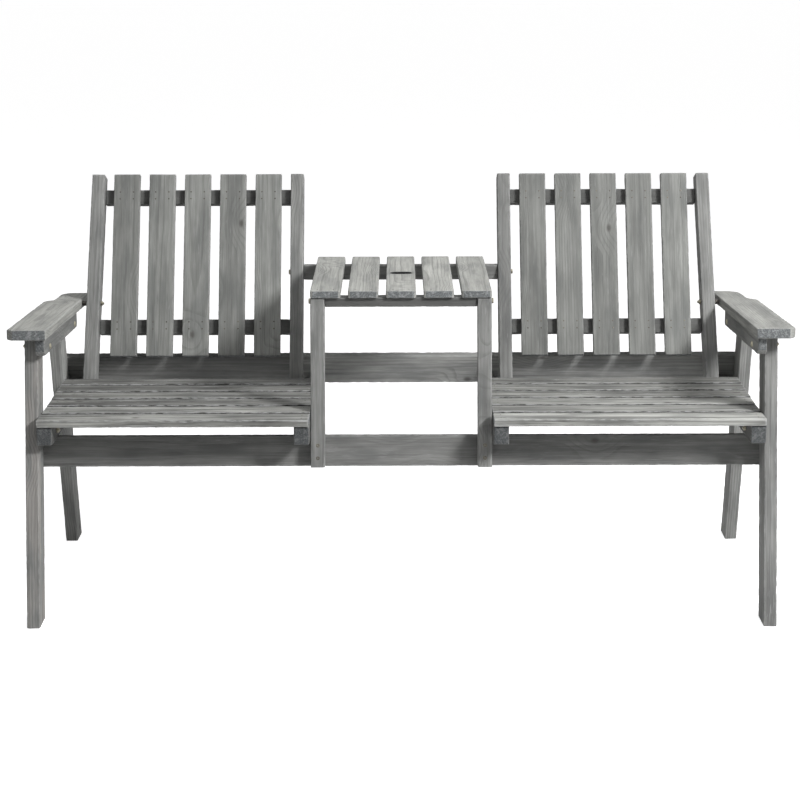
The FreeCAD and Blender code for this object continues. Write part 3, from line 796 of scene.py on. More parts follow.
def stained_wood(context, finish):
    """Grey stain over softwood, worn pale at its edges, with dark knots and sawn ends, and with
    painted shade in the gaps between boards and inside the pole hole.
    """
    name = finish.replace("_", " ")
    if name in bpy.data.materials:
        return bpy.data.materials[name]
    stain = context.scene.bench_stain
    base = getattr(stain, finish)
    pale = shade(stain.worn_wood)
    end = stain.end_wood
    material = bpy.data.materials.new(name)
    material.use_nodes = True
    tree = material.node_tree
    place = attribute(tree, "grain_place", "Vector")
    grain = add_node(tree, "ShaderNodeGroup", node_tree=grain_group())
    link(place, grain.inputs["Place"])
    rings, fibres, knots, blotches, bands, cracks, streaks, scratches = [
        Value(grain.outputs[mark]) for mark in GRAIN_MARKS]
    tone, worn, chipped, sawn, weathering, warmth, grime, bored = [
        attribute(tree, key) for key in ("board_tone", "worn", "chipped", "sawn", "weathering",
                                         "warmth", "grime", "bored")]

    def by_weather(fresh, weathered):
        return weathering * (weathered - fresh) + fresh

    def over(colour, share, upper, blend="MIX"):
        return mixed(tree, share, colour, upper, blend)

    def lightened(colour, amount, share):
        """Lightens or darkens a colour by a share as the amount runs from 0 to 1."""
        return over(colour, 1.0, (amount * 2.0 - 1.0) * share + 1.0, "MULTIPLY")

    colour = mixed(tree, tone, shade(base, DARKEST_BOARD), shade(base, PALEST_BOARD))
    colour = lightened(colour, ramp(blotches, 0.3, 0.7), by_weather(*BLOTCHED))
    colour = over(colour, ramp(blotches, 0.5, 0.36, 0.0, stain.cool_strength),
                  shade(stain.cool_tint), "MULTIPLY")
    colour = over(colour, warmth * ramp(blotches, 0.4, 0.6), shade(stain.warm_tint), "MULTIPLY")
    colour = lightened(colour, bands, by_weather(*BANDED))
    colour = over(colour, rings * stain.ring_strength, shade(base, LATE_WOOD))
    colour = over(colour, ramp(fibres, 0.62, 0.34, 0.0, stain.fibre_strength),
                  shade(base, DARK_FIBRE))
    colour = over(colour, streaks * by_weather(*STREAKED), pale)
    colour = over(colour, cracks * by_weather(*CRACKED), shade(base, CRACK_FLOOR))
    colour = over(colour, scratches * by_weather(*SCRATCHED), pale)
    colour = over(colour, knots, shade(stain.knot_wood))
    # Painted shade: darkens the slats' flanks in the gaps and the rear wide rail behind the seats
    colour = over(colour, grime * PAINTED_SHADE_STRENGTH, shade(base, PAINTED_SHADE_TONE))
    frays = noise(tree, vector_maths(tree, "MULTIPLY", place, FRAYS_PER_METRE), 1.0, 4.0)
    edge = maths(tree, "MAXIMUM", worn * (ramp(frays, 0.42, 0.6) * by_weather(*FRAYED)),
                 chipped * by_weather(*CHIPPED))
    colour = over(colour, edge * stain.edge_strength, pale)
    pores = noise(tree, place, PORES_PER_METRE)
    mottle = noise(tree, place, MOTTLES_PER_METRE, 4.0)
    end_tone = mixed(tree, ramp(pores, 0.36, 0.66), shade(end, DARKEST_END),
                     shade(end, PALEST_END))
    end_tone = over(end_tone, rings * RINGS_ON_ENDS, shade(end, LATE_WOOD_END))
    end_tone = over(end_tone, ramp(mottle, 0.5, 0.62, 0.0, stain.end_mottle), pale)
    end_tone = lightened(end_tone, tone, END_TONE_SPREAD)
    colour = over(colour, ramp(sawn, 0.8, 0.98, 0.0, SAWN), end_tone)
    # Painted shade inside the pole hole
    colour = over(colour, bored, shade(end, BORE_PAINTED_SHADE))
    height = (fibres * RAISED_FIBRES - rings * SUNK_RINGS - cracks * SUNK_CRACKS
              + pores * ramp(sawn, 0.8, 1.0, 0.05, 0.6))
    shader = tree.nodes["Principled BSDF"].inputs
    shader["Specular IOR Level"].default_value = 0.3
    link(colour, shader["Base Color"])
    link(ramp(fibres, 0.3, 0.7, stain.roughness - ROUGHNESS_SPREAD,
              stain.roughness + ROUGHNESS_SPREAD), shader["Roughness"])
    link(from_node(tree, "ShaderNodeBump",
                   {"Strength": 0.4, "Distance": RELIEF, "Height": height}), shader["Normal"])
    return material


class StainColours(bpy.types.PropertyGroup):
    top_boards: FloatVectorProperty(
        name="Seat and table boards", description="Stain on the boards that face up",
        default=(0.268, 0.2695, 0.255), subtype="COLOR", min=0.0, max=1.0)
    back_boards: FloatVectorProperty(
        name="Backrest boards", description="Stain on the backrest slats",
        default=(0.27, 0.275, 0.262), subtype="COLOR", min=0.0, max=1.0)
    frame_boards: FloatVectorProperty(
        name="Frame boards", description="Stain on the legs, rails and posts",
        default=(0.262, 0.264, 0.256), subtype="COLOR", min=0.0, max=1.0)
    worn_wood: FloatVectorProperty(
        name="Worn wood", description="Colour where the stain has rubbed away",
        default=(0.555, 0.56, 0.56), subtype="COLOR", min=0.0, max=1.0)
    knot_wood: FloatVectorProperty(
        name="Knots", description="Colour of the knots under the stain",
        default=(0.075, 0.07, 0.065), subtype="COLOR", min=0.0, max=1.0)
    end_wood: FloatVectorProperty(
        name="Sawn ends", description="Colour of the sawn ends, which soak up the stain",
        default=(0.135, 0.145, 0.15), subtype="COLOR", min=0.0, max=1.0)
    cool_tint: FloatVectorProperty(
        name="Cool tint", description="Tint of the patches that took the stain most",
        default=(0.84, 0.86, 0.88), subtype="COLOR", min=0.0, max=1.0)
    cool_strength: FloatProperty(
        name="Cool strength", description="How strong the cool patches show",
        default=0.45, min=0.0, max=1.0, subtype="FACTOR")
    warm_tint: FloatVectorProperty(
        name="Warm tint", description="Tint of the patches where the wood shows through",
        default=(1.14, 0.98, 0.92), subtype="COLOR", min=0.0, max=2.0)
    ring_strength: FloatProperty(
        name="Ring strength", description="How dark the growth rings show",
        default=0.4, min=0.0, max=1.0, subtype="FACTOR")
    fibre_strength: FloatProperty(
        name="Fibre strength", description="How dark the fibres show",
        default=0.4, min=0.0, max=1.0, subtype="FACTOR")
    edge_strength: FloatProperty(
        name="Edge strength", description="How pale the rubbed edges show",
        default=0.8, min=0.0, max=1.0, subtype="FACTOR")
    end_mottle: FloatProperty(
        name="End mottle", description="How pale the patches on the sawn ends show",
        default=0.2, min=0.0, max=1.0, subtype="FACTOR")
    roughness: FloatProperty(
        name="Roughness", description="Roughness of the dry stained wood",
        default=0.78, min=0.0, max=1.0, subtype="FACTOR")


def outward(side):
    return RIGHT if side == "right" else -RIGHT


class BENCH_OT_side_frames(bpy.types.Operator):
    """Makes the legs and arm rails of both side frames"""
    bl_idname = "bench.side_frames"
    bl_label = "Side frames"

    def execute(self, context):
        angles = context.scene.bench_angles
        arm_up = leaning(angles.armrest_slope)
        upright = leaning(-angles.rear_leg_lean)
        splay = angles.rear_leg_splay
        for side in SIDES:
            front = Board("front_leg_" + side, leaning(angles.front_leg_lean),
                          rearward(angles.front_leg_lean), start=-UP, end=arm_up)
            single_board(context, front)
            rear = Board("rear_leg_" + side,
                         upright * math.cos(splay) - outward(side) * math.sin(splay),
                         rearward(-angles.rear_leg_lean), start=-UP, end=arm_up)
            single_board(context, rear)
            rail = Board("arm_rail_" + side, rearward(angles.armrest_slope), arm_up,
                         start=-BACK, end=BACK)
            clip = context.scene.bench_boards.arm_rail_clip
            single_board(context, rail, outline=clipped_outline(rail, clip))
        return {"FINISHED"}


class BENCH_OT_armrests(bpy.types.Operator):
    """Makes the two flat armrests"""
    bl_idname = "bench.armrests"
    bl_label = "Armrests"

    def execute(self, context):
        sizes = context.scene.bench_boards
        along = rearward(context.scene.bench_angles.armrest_slope)
        for side in SIDES:
            board = Board("armrest_" + side, along, RIGHT)
            single_board(context, board, "top_boards",
                         outline=armrest_outline(board, sizes, side))
        return {"FINISHED"}


# How dark the painted shade on the rear wide rail is behind each seat, and over which length it
# fades out
RAIL_SHADOW_LEFT = 0.6
RAIL_SHADOW_RIGHT = 0.3
RAIL_SHADOW_EDGE = 0.03


class BENCH_OT_rails(bpy.types.Operator):
    """Makes the rails under the seats and the two long rails"""
    bl_idname = "bench.rails"
    bl_label = "Rails"

    def execute(self, context):
        angles = context.scene.bench_angles
        back = rearward(angles.seat_slope)
        for side in SIDES:
            for place in ("outer", "inner"):
                single_board(context, Board("seat_rail_%s_%s" % (place, side), back,
                                            leaning(angles.seat_slope), end=BACK))
        single_board(context, Board("front_lower_rail", RIGHT, leaning(angles.front_leg_lean)))
        rear = Board("rear_wide_rail", RIGHT, leaning(-angles.rear_leg_lean))
        self.paint_shade_behind_seats(single_board(context, rear),
                         context.scene.bench_boards.table_bay_half_width)
        return {"FINISHED"}

    def paint_shade_behind_seats(self, piece, bay):
        """Paints shade on the rail behind the seats, most on the left, and leaves it pale between
        them.
        """
        points = np.empty(len(piece.data.vertices) * 3)
        piece.data.vertices.foreach_get("co", points)
        x = points[::3]
        share = smooth_share((np.abs(x) - bay) / RAIL_SHADOW_EDGE)
        share *= np.where(x < 0, RAIL_SHADOW_LEFT, RAIL_SHADOW_RIGHT)
        piece.data.attributes["grime"].data.foreach_set("value", share.astype(np.float32))


class BENCH_OT_backrests(bpy.types.Operator):
    """Makes the posts, rails and slats of both backrests"""
    bl_idname = "bench.backrests"
    bl_label = "Backrests"

    def execute(self, context):
        angles = context.scene.bench_angles
        slat_round = context.scene.bench_boards.slat_round
        up = leaning(angles.post_rake)
        foot = -leaning(angles.seat_slope)
        lean = angles.outer_post_lean
        for side in SIDES:
            leaned = up * math.cos(lean) - outward(side) * math.sin(lean)
            single_board(context, Board("back_post_outer_" + side, leaned, RIGHT, start=foot))
            single_board(context, Board("back_post_inner_" + side, up, RIGHT, start=foot))
            for level in ("upper", "lower"):
                single_board(context, Board("back_rail_%s_%s" % (level, side), RIGHT, up),
                             radius=slat_round)
            nodes = ["back_slat_%d_%s" % (n + 1, side) for n in range(BACK_SLATS)]
            board_row(context, "back_slats_" + side, nodes, up, outward(side), "back_boards")
        return {"FINISHED"}


class BENCH_OT_seats(bpy.types.Operator):
    """Makes the slats of both seats"""
    bl_idname = "bench.seats"
    bl_label = "Seats"

    def execute(self, context):
        across = rearward(context.scene.bench_angles.seat_slope)
        for side in SIDES:
            nodes = ["seat_slat_%d_%s" % (n + 1, side) for n in range(SEAT_SLATS)]
            board_row(context, "seat_slats_" + side, nodes, outward(side), across, "top_boards")
        return {"FINISHED"}


class BENCH_OT_table(bpy.types.Operator):
    """Makes the table's legs, rails and slats, with the pole hole in the middle slat"""
    bl_idname = "bench.table"
    bl_label = "Table"

    def execute(self, context):
        sizes = context.scene.bench_boards
        up = leaning(context.scene.bench_angles.front_leg_lean)
        boards = [Board("table_leg_" + side, up, RIGHT, end=UP) for side in SIDES]
        boards += [Board("table_front_rail", RIGHT, BACK), Board("table_rear_rail", RIGHT, UP)]
        for board in boards:
            single_board(context, board, radius=sizes.slat_round)
        nodes = ["table_slat_%d" % (n + 1) for n in range(TABLE_SLATS)]
        board_row(context, "table_slats", nodes, BACK, RIGHT, "top_boards",
                  MIDDLE_TABLE_SLAT, sizes.table_slat_corner)
        middle = Board(nodes[MIDDLE_TABLE_SLAT], BACK, RIGHT)
        outline = round_cornered_outline(middle, sizes.table_slat_corner)
        mesh = board_mesh(middle, outline, sizes.slat_round, sizes.ring_spacing)
        mesh = holed(context, mesh, middle, sizes)
        mark_board(mesh, middle, outline, sizes.slat_round)
        mark_bore(mesh, middle, sizes)
        timber_piece(context, "table_middle_slat", middle, mesh, [middle.node], "top_boards",
                     LOOKS["table_middle_slat"])
        return {"FINISHED"}


HOLE_STEPS = 12
FIRST_EASE = 0.3


def holed(context, mesh, board, sizes):
    """Cuts the pole hole, with its rims eased, through the middle of a board."""
    for key in BOARD_MARKS:
        mesh.attributes.remove(mesh.attributes[key])
    cutter = bpy.data.objects.new("pole hole", hole_mesh(board, sizes))
    blank = bpy.data.objects.new("blank", mesh)
    for obj in (cutter, blank):
        context.scene.collection.objects.link(obj)
    cut = blank.modifiers.new("pole hole", "BOOLEAN")
    cut.operation = "DIFFERENCE"
    cut.object = cutter
    cut.solver = "EXACT"
    result = evaluated_mesh(context, blank)
    for obj in (cutter, blank):
        bpy.data.objects.remove(obj)
    return result


def mark_bore(mesh, board, sizes):
    """Marks the faces inside the pole hole, on which shade is painted dark."""
    reach = sizes.pole_hole_length / 2
    middle = Vector((board.length / 2, 0.0, 0.0))
    inside = [abs(face.normal.z) < 0.5 and (face.center - middle).length < reach
              for face in mesh.polygons]
    store(mesh, "bored", "FLOAT", inside, "FACE")


def hole_mesh(board, sizes):
    """A closed plug with round ends that flares at both faces of the board."""
    radius = sizes.pole_hole_width / 2
    reach = sizes.pole_hole_length / 2 - radius
    half = board.thickness / 2
    ease = sizes.slat_round
    levels = [(half * 1.5, ease), (half, ease), (half - ease * FIRST_EASE, ease * FIRST_EASE),
              (half - ease, 0.0)]
    levels += [(-z, grow) for z, grow in reversed(levels)]
    verts = []
    for z, grow in levels:
        for side in (1, -1):
            for k in range(HOLE_STEPS + 1):
                turn = math.pi * (k / HOLE_STEPS + (side < 0))
                verts.append((board.length / 2 + (radius + grow) * math.cos(turn),
                              side * reach + (radius + grow) * math.sin(turn), z))
    size = 2 * (HOLE_STEPS + 1)
    faces = [tuple(range(size)), tuple(reversed(range(len(verts) - size, len(verts))))]
    for start in range(0, len(verts) - size, size):
        for k in range(size):
            follow = (k + 1) % size
            faces.append((start + follow, start + k, start + size + k, start + size + follow))
    mesh = bpy.data.meshes.new("pole hole")
    mesh.from_pydata(verts, [], faces)
    form = bmesh.new()
    form.from_mesh(mesh)
    bmesh.ops.recalc_face_normals(form, faces=form.faces)
    form.to_mesh(mesh)
    form.free()
    return mesh


class FastenerSizes(bpy.types.PropertyGroup):
    bolt_diameter: FloatProperty(
        name="Bolt diameter", description="Diameter of the bolts and lag screws",
        default=0.006, unit="LENGTH")
    bolt_head_diameter: FloatProperty(
        name="Bolt head diameter", description="Diameter of the bolts' round heads",
        default=0.013, unit="LENGTH")
    bolt_head_height: FloatProperty(
        name="Bolt head height", description="Height of the bolts' round heads",
        default=0.003, unit="LENGTH")
    thread_pitch: FloatProperty(
        name="Thread pitch", description="Distance between the threads",
        default=0.001, unit="LENGTH")
    nut_width: FloatProperty(
        name="Nut width", description="Width of nuts and hexagon heads across their flats",
        default=0.010, unit="LENGTH")
    nut_height: FloatProperty(
        name="Nut height", description="Height of a nut", default=0.005, unit="LENGTH")
    hex_head_height: FloatProperty(
        name="Hexagon head height", description="Height of the lag screws' heads",
        default=0.004, unit="LENGTH")
    post_bolt_tip: FloatProperty(
        name="Post bolt tip", description="How far the outer posts' bolts pass their heads",
        default=0.0035, unit="LENGTH")
    screw_head_diameter: FloatProperty(
        name="Screw head diameter", description="Diameter of the countersunk heads",
        default=0.008, unit="LENGTH")
    screw_head_height: FloatProperty(
        name="Screw head height", description="Depth of the countersunk heads",
        default=0.0025, unit="LENGTH")
    nail_head_diameter: FloatProperty(
        name="Nail head diameter", description="Diameter of the nails' flat heads",
        default=0.0035, unit="LENGTH")
    shank_length: FloatProperty(
        name="Shank length", description="How far a shank runs into the wood",
        default=0.008, unit="LENGTH")
    zinc: FloatVectorProperty(
        name="Zinc", description="Colour of the yellow zinc plating",
        default=(0.5, 0.47, 0.36), subtype="COLOR", min=0.0, max=1.0)
    tarnished: FloatVectorProperty(
        name="Tarnished", description="Colour of the plating once it has tarnished",
        default=(0.06, 0.055, 0.05), subtype="COLOR", min=0.0, max=1.0)


# Fasteners. Every head or tip is made once, facing up from its highest point, and set on
# points that are found in the CAD nodes. Profiles are shares of a radius or a height: how
# wide the part is, and how far down.

ROUND_STEPS = 24
DOME_STEPS = 6
THREAD_DEPTH = 0.4
NUT_CHAMFER = 0.12
HEAD_CHAMFER = 0.15
TIP_PROFILE = ((0.8, 0.0), (1.0, 0.3), (1.0, 1.0))
SCREW_PROFILE = ((0.9, 0.0), (1.0, 0.08), (0.5, 1.0), (0.5, 3.0))
NAIL_PROFILE = ((0.55, 0.0), (0.9, 0.06), (1.0, 0.25), (1.0, 0.6), (0.5, 0.6), (0.5, 3.0))
CROSS_FLOOR = (0.4, 0.6)
CROSS_RIM = (0.6, 0.04)
CROSS_ARM = 0.2
CROSS_WAIST = 0.35


def ring_stack(rings, hollow=False):
    """A closed mesh round the z axis, from its top ring down. Hollow ones close on themselves."""
    size = len(rings[0])
    verts = [point for ring in rings for point in ring]
    faces = [] if hollow else [tuple(range(size)),
                               tuple(reversed(range(len(verts) - size, len(verts))))]
    for n in range(len(rings) if hollow else len(rings) - 1):
        upper, lower = n * size, (n + 1) % len(rings) * size
        for k in range(size):
            follow = (k + 1) % size
            faces.append((upper + follow, upper + k, lower + k, lower + follow))
    mesh = bpy.data.meshes.new("part")
    mesh.from_pydata(verts, [], faces)
    mesh.polygons.foreach_set("use_smooth", [False] * len(mesh.polygons))
    return mesh


def shaped_ring(radius_at, z):
    turns = [math.radians(360) * k / ROUND_STEPS for k in range(ROUND_STEPS)]
    return [(radius_at(t) * math.cos(t), radius_at(t) * math.sin(t), z) for t in turns]


def round_ring(radius, z):
    return shaped_ring(lambda turn: radius, z)


def turned(profile, radius, height):
    return [round_ring(radius * wide, -height * down) for wide, down in profile]


def hexagon_ring(width, z, chamfered=False):
    """A hexagon, or the circle between its flats to which a chamfer cuts its corners back."""
    flat = math.radians(60)
    if chamfered:
        return round_ring(width / 2, z)
    return shaped_ring(lambda turn: width / 2 / math.cos(turn % flat - flat / 2), z)


def cross_ring(reach, z):
    """The outline of a cross recess."""
    quarter = math.radians(90)

    def radius_at(turn):
        off_arm = min(turn % quarter, quarter - turn % quarter)
        return reach * (1.0 if off_arm < CROSS_ARM else CROSS_WAIST)

    return shaped_ring(radius_at, z)


def bolt_head(sizes):
    rim = sizes.bolt_head_diameter / 2
    dome = (rim ** 2 + sizes.bolt_head_height ** 2) / (2 * sizes.bolt_head_height)
    widest = math.asin(rim / dome)
    turns = [widest * (k + 1) / DOME_STEPS for k in range(DOME_STEPS)]
    rings = [round_ring(dome * math.sin(t), -dome * (1 - math.cos(t))) for t in turns]
    low = -sizes.bolt_head_height
    shank = sizes.bolt_diameter / 2
    return ring_stack(rings + [round_ring(shank, low), round_ring(shank, low - sizes.shank_length)])


def bolt_tip(sizes):
    radius = sizes.bolt_diameter / 2
    pitch = sizes.thread_pitch
    root = radius - pitch * THREAD_DEPTH
    rings = [round_ring(root, 0.0)]
    for k in range(round(sizes.shank_length / pitch)):
        rings += [round_ring(radius, -(k + 0.5) * pitch), round_ring(root, -(k + 1) * pitch)]
    return ring_stack(rings)


def nut(sizes, height):
    top = height / 2
    low = top - sizes.nut_height * NUT_CHAMFER
    bore = sizes.bolt_diameter / 2
    width = sizes.nut_width
    return ring_stack([round_ring(bore, top), hexagon_ring(width, top, chamfered=True),
                       hexagon_ring(width, low), hexagon_ring(width, -low),
                       hexagon_ring(width, -top, chamfered=True), round_ring(bore, -top)],
                      hollow=True)


def hexagon_head(sizes, tip=0.0):
    """A hexagon head, with the end of a bolt past it where there is a tip."""
    width = sizes.nut_width
    low = -sizes.hex_head_height - tip
    shank = sizes.bolt_diameter / 2
    end = turned(TIP_PROFILE, shank, tip) if tip else []
    cut = sizes.hex_head_height * HEAD_CHAMFER
    return ring_stack(end + [hexagon_ring(width, -tip, chamfered=True),
                             hexagon_ring(width, -tip - cut), hexagon_ring(width, low),
                             round_ring(shank, low), round_ring(shank, low - sizes.shank_length)])


def screw_head(sizes):
    rim = sizes.screw_head_diameter / 2
    height = sizes.screw_head_height
    recess = [cross_ring(rim * wide, -height * down) for wide, down in (CROSS_FLOOR, CROSS_RIM)]
    return ring_stack(recess + turned(SCREW_PROFILE, rim, height))


def nail_head(sizes):
    rim = sizes.nail_head_diameter / 2
    return ring_stack(turned(NAIL_PROFILE, rim, rim))


def solids_of(node):
    """The points of each separate solid in a CAD node."""
    form = bmesh.new()
    form.from_mesh(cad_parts[node].data)
    bmesh.ops.remove_doubles(form, verts=form.verts, dist=SAME_POINT)
    seen = set()
    solids = []
    for first in form.verts:
        if first in seen:
            continue
        seen.add(first)
        reached = [first]
        for vert in reached:
            beside = {edge.other_vert(vert) for edge in vert.link_edges} - seen
            seen |= beside
            reached += beside
        solids.append(np.array([vert.co for vert in reached]))
    form.free()
    return solids


def fastener_ends(node):
    """For each fastener in a CAD node, where its head and its tip end and how its head faces."""
    ends = []
    for points in solids_of(node):
        axes = np.linalg.eigh(np.cov(points.T))[1]
        places = points @ axes
        low, high = places.min(axis=0), places.max(axis=0)
        middle = (low + high) / 2
        from_axis = np.hypot(places[:, 0] - middle[0], places[:, 1] - middle[1])
        widest = places[np.argmax(from_axis), 2]
        top, tip = (high[2], low[2]) if widest > middle[2] else (low[2], high[2])
        head_end = axes @ np.array((middle[0], middle[1], top))
        tip_end = axes @ np.array((middle[0], middle[1], tip))
        ends.append((Vector(head_end), Vector(tip_end), Vector(head_end - tip_end).normalized()))
    return ends


def heads_of(ends):
    return [(head, facing) for head, tip, facing in ends]


def nuts_by_length(bolts):
    """For each length of nut, the middle of each one, found on the bolt it is threaded on."""
    places = {}
    for points in solids_of("hex_nuts"):
        middle = Vector((points.min(axis=0) + points.max(axis=0)) / 2)
        head, tip, facing = min(bolts, key=lambda bolt: off_axis(middle, bolt))
        length = round(float(np.ptp(points @ np.array(facing))), 4)
        centre = head + facing * (middle - head).dot(facing)
        places.setdefault(length, []).append((centre, facing))
    return places


def off_axis(point, bolt):
    head, tip, facing = bolt
    share = min(max((point - head).dot(tip - head) / (tip - head).length_squared, 0.0), 1.0)
    return (point - head.lerp(tip, share)).length


HARDWARE_ON_POINTS = "hardware on points"
HARDWARE_INPUTS = [("Points", "Geometry"), ("Part", "Object"), ("Tarnish", "Float", 0.2),
                   ("Tarnish Spread", "Float", 0.2), ("Seed", "Int", 0),
                   ("Material", "Material")]


def hardware_tree():
    """Sets a part on every point, turned to face as the point does, each with its own spin."""
    if HARDWARE_ON_POINTS in bpy.data.node_groups:
        return bpy.data.node_groups[HARDWARE_ON_POINTS]
    tree, given, put_out = open_tree(HARDWARE_ON_POINTS, "GeometryNodeTree", HARDWARE_INPUTS,
                                     [("Hardware", "Geometry")])
    part = from_node(tree, "GeometryNodeObjectInfo", {"Object": given["Part"]}, "Geometry")
    faced = from_node(tree, "FunctionNodeAlignRotationToVector",
                      {"Vector": named(tree, "facing", "FLOAT_VECTOR")}, axis="Z")
    spin = from_node(tree, "FunctionNodeRandomValue",
                     {3: math.radians(360), "Seed": given["Seed"]}, 1, data_type="FLOAT")
    spin = from_node(tree, "FunctionNodeEulerToRotation", {0: vector(tree, Z=spin)})
    spun = from_node(tree, "FunctionNodeRotateRotation", {0: faced, 1: spin},
                     rotation_space="LOCAL")
    parts = from_node(tree, "GeometryNodeInstanceOnPoints",
                      {"Points": given["Points"], "Instance": part, "Rotation": spun})
    tarnish = random_near(tree, given["Tarnish"], given["Tarnish Spread"], given["Seed"] + 7.0)
    parts = stored(parts, "INSTANCE", tarnish=tarnish)
    put_out("Hardware", covered(realized(parts), given["Material"]))
    return tree


def plated_metal(context):
    """Dull yellow zinc plating that darkens where it has tarnished."""
    name = "plated steel"
    if name in bpy.data.materials:
        return bpy.data.materials[name]
    sizes = context.scene.bench_fasteners
    material = bpy.data.materials.new(name)
    material.use_nodes = True
    tree = material.node_tree
    mottle = noise(tree, from_node(tree, "ShaderNodeTexCoord", output="Object"), 700.0)
    share = maths(tree, "ADD", attribute(tree, "tarnish"), ramp(mottle, 0.4, 0.7, 0.0, 0.35),
                  clamp=True)
    shader = tree.nodes["Principled BSDF"].inputs
    link(mixed(tree, share, shade(sizes.zinc), shade(sizes.tarnished)), shader["Base Color"])
    link(ramp(mottle, 0.3, 0.7, 0.38, 0.6), shader["Roughness"])
    link(0.85, shader["Metallic"])
    return material


def hardware(context, part, places, tarnish, seed):
    """Sets a part on places, each a point and the way it faces."""
    mesh = bpy.data.meshes.new("places")
    mesh.from_pydata([place for place, facing in places], [], [])
    store(mesh, "facing", "FLOAT_VECTOR", [tuple(facing) for place, facing in places])
    master = bpy.data.objects.new("master", part)
    context.scene.collection.objects.link(master)
    values = {"Part": master, "Tarnish": tarnish, "Seed": seed,
              "Material": plated_metal(context)}
    result = grown(context, mesh, hardware_tree(), values)
    bpy.data.objects.remove(master)
    return result


def joined(meshes):
    form = bmesh.new()
    for mesh in meshes:
        form.from_mesh(mesh)
    form.to_mesh(meshes[0])
    form.free()
    return meshes[0]


# How tarnished each kind of fastener is, or how far it is darkened as painted shade, and the seed
# of its spins
BOLT_HEADS = (0.05, 1)
BOLT_TIPS = (0.35, 2)
NUTS = (0.3, 3)
# The long spacer nuts are darkened fully, partly as tarnish and mostly as painted shade in the
# narrow gap between armrest and post
SHADED_SPACER_NUTS = (1.0, 3)
LAG_HEADS = (0.45, 4)
POST_LAG_HEADS = (0.45, 8)
RAIL_SCREWS = (0.75, 5)
ARMREST_SCREWS = (0.5, 6)
SLAT_NAILS = (0.8, 7)
# A nut is a long one from this many times the usual height
LONG_FROM = 1.2


class BENCH_OT_fasteners(bpy.types.Operator):
    """Makes the bolts, nuts, screws and nails"""
    bl_idname = "bench.fasteners"
    bl_label = "Fasteners"

    def execute(self, context):
        sizes = context.scene.bench_fasteners
        bolts = fastener_ends("carriage_bolts")
        tips = [(tip, -facing) for head, tip, facing in bolts]
        self.piece(context, "carriage_bolts", [(bolt_head(sizes), heads_of(bolts), BOLT_HEADS),
                                               (bolt_tip(sizes), tips, BOLT_TIPS)])
        lags = fastener_ends("lag_screws")
        long_nut = sizes.nut_height * LONG_FROM
        self.piece(context, "hex_nuts", [
            (nut(sizes, length), places, SHADED_SPACER_NUTS if length > long_nut else NUTS)
            for length, places in nuts_by_length(bolts + lags).items()])
        at_posts = max(abs(head.x) for head, tip, facing in lags) - sizes.nut_width
        plain = [lag for lag in lags if abs(lag[0].x) < at_posts]
        tipped = [lag for lag in lags if abs(lag[0].x) >= at_posts]
        self.piece(context, "lag_screws", [
            (hexagon_head(sizes), heads_of(plain), LAG_HEADS),
            (hexagon_head(sizes, sizes.post_bolt_tip), heads_of(tipped), POST_LAG_HEADS)])
        for node, part, finish in (("rail_screws", screw_head(sizes), RAIL_SCREWS),
                                   ("armrest_screws", screw_head(sizes), ARMREST_SCREWS),
                                   ("slat_nails", nail_head(sizes), SLAT_NAILS)):
            self.piece(context, node, [(part, heads_of(fastener_ends(node)), finish)])
        return {"FINISHED"}

    def piece(self, context, node, kinds):
        meshes = [hardware(context, part, places, *finish) for part, places, finish in kinds]
        finished_piece(context, node + "_metal", joined(meshes), [node])


class StageSettings(bpy.types.PropertyGroup):
    camera_place: FloatVectorProperty(
        name="Camera place", description="Where the camera stands",
        default=(-0.0055, -3.9254, 1.4166), subtype="TRANSLATION")
    camera_pitch: FloatProperty(
        name="Camera pitch", description="How far the camera looks down",
        default=math.radians(12.3365), subtype="ANGLE")
    camera_yaw: FloatProperty(
        name="Camera yaw", description="How far the camera turns to the right",
        default=math.radians(0.05), subtype="ANGLE")
    camera_roll: FloatProperty(
        name="Camera roll", description="How far the camera tips to the right",
        default=math.radians(0.157), subtype="ANGLE")
    focal_length: FloatProperty(
        name="Focal length", description="Lens of the camera, in millimetres",
        default=83.4975, subtype="DISTANCE_CAMERA")
    camera_shift: FloatProperty(
        name="Camera shift", description="How far the view is shifted down, in picture heights",
        default=-0.0875)
    key_power: FloatProperty(
        name="Key power", description="Power of the large lamp at the front right",
        default=152.0, unit="POWER")
    fill_power: FloatProperty(
        name="Fill power", description="Power of the lamp at the front left",
        default=12.0, unit="POWER")
    top_power: FloatProperty(
        name="Top power", description="Power of the broad lamp overhead",
        default=42.0, unit="POWER")
    ambient: FloatProperty(
        name="Ambient", description="Light from all round the studio",
        default=0.05, min=0.0)
    floor_glow: FloatProperty(
        name="Floor glow", description="How much lighter the floor looks to the camera",
        default=0.92, min=0.0)


# Each lamp of the studio: where it stands, what it points at and its size
LAMPS = {
    "key": ((2.4, -2.2, 2.8), (0.0, 0.0, 0.45), (0.75, 0.75)),
    "top": ((0.3, 0.2, 3.2), (0.0, 0.0, 0.4), (3.0, 2.0)),
    "fill": ((-2.8, -3.0, 3.0), (0.0, 0.0, 0.4), (2.6, 2.0)),
}
FLOOR_REACH = 30.0
FLOOR_GREY = 0.72


def aimed_lamp(context, name, power):
    place, target, size = LAMPS[name]
    lamp = bpy.data.lights.new(name + " lamp", "AREA")
    lamp.shape = "RECTANGLE"
    lamp.size, lamp.size_y = size
    lamp.energy = power
    obj = bpy.data.objects.new(name + " lamp", lamp)
    obj.location = place
    direction = Vector(target) - Vector(place)
    obj.rotation_euler = direction.to_track_quat("-Z", "Y").to_euler()
    context.scene.collection.objects.link(obj)


def seen_directly(tree):
    """1 for what the camera sees, straight or in metal and glass, and 0 for light."""
    path = add_node(tree, "ShaderNodeLightPath").outputs
    camera, glossy, through = [Value(path["Is %s Ray" % kind])
                               for kind in ("Camera", "Glossy", "Transmission")]
    return maths(tree, "MAXIMUM", maths(tree, "MAXIMUM", camera, glossy), through)


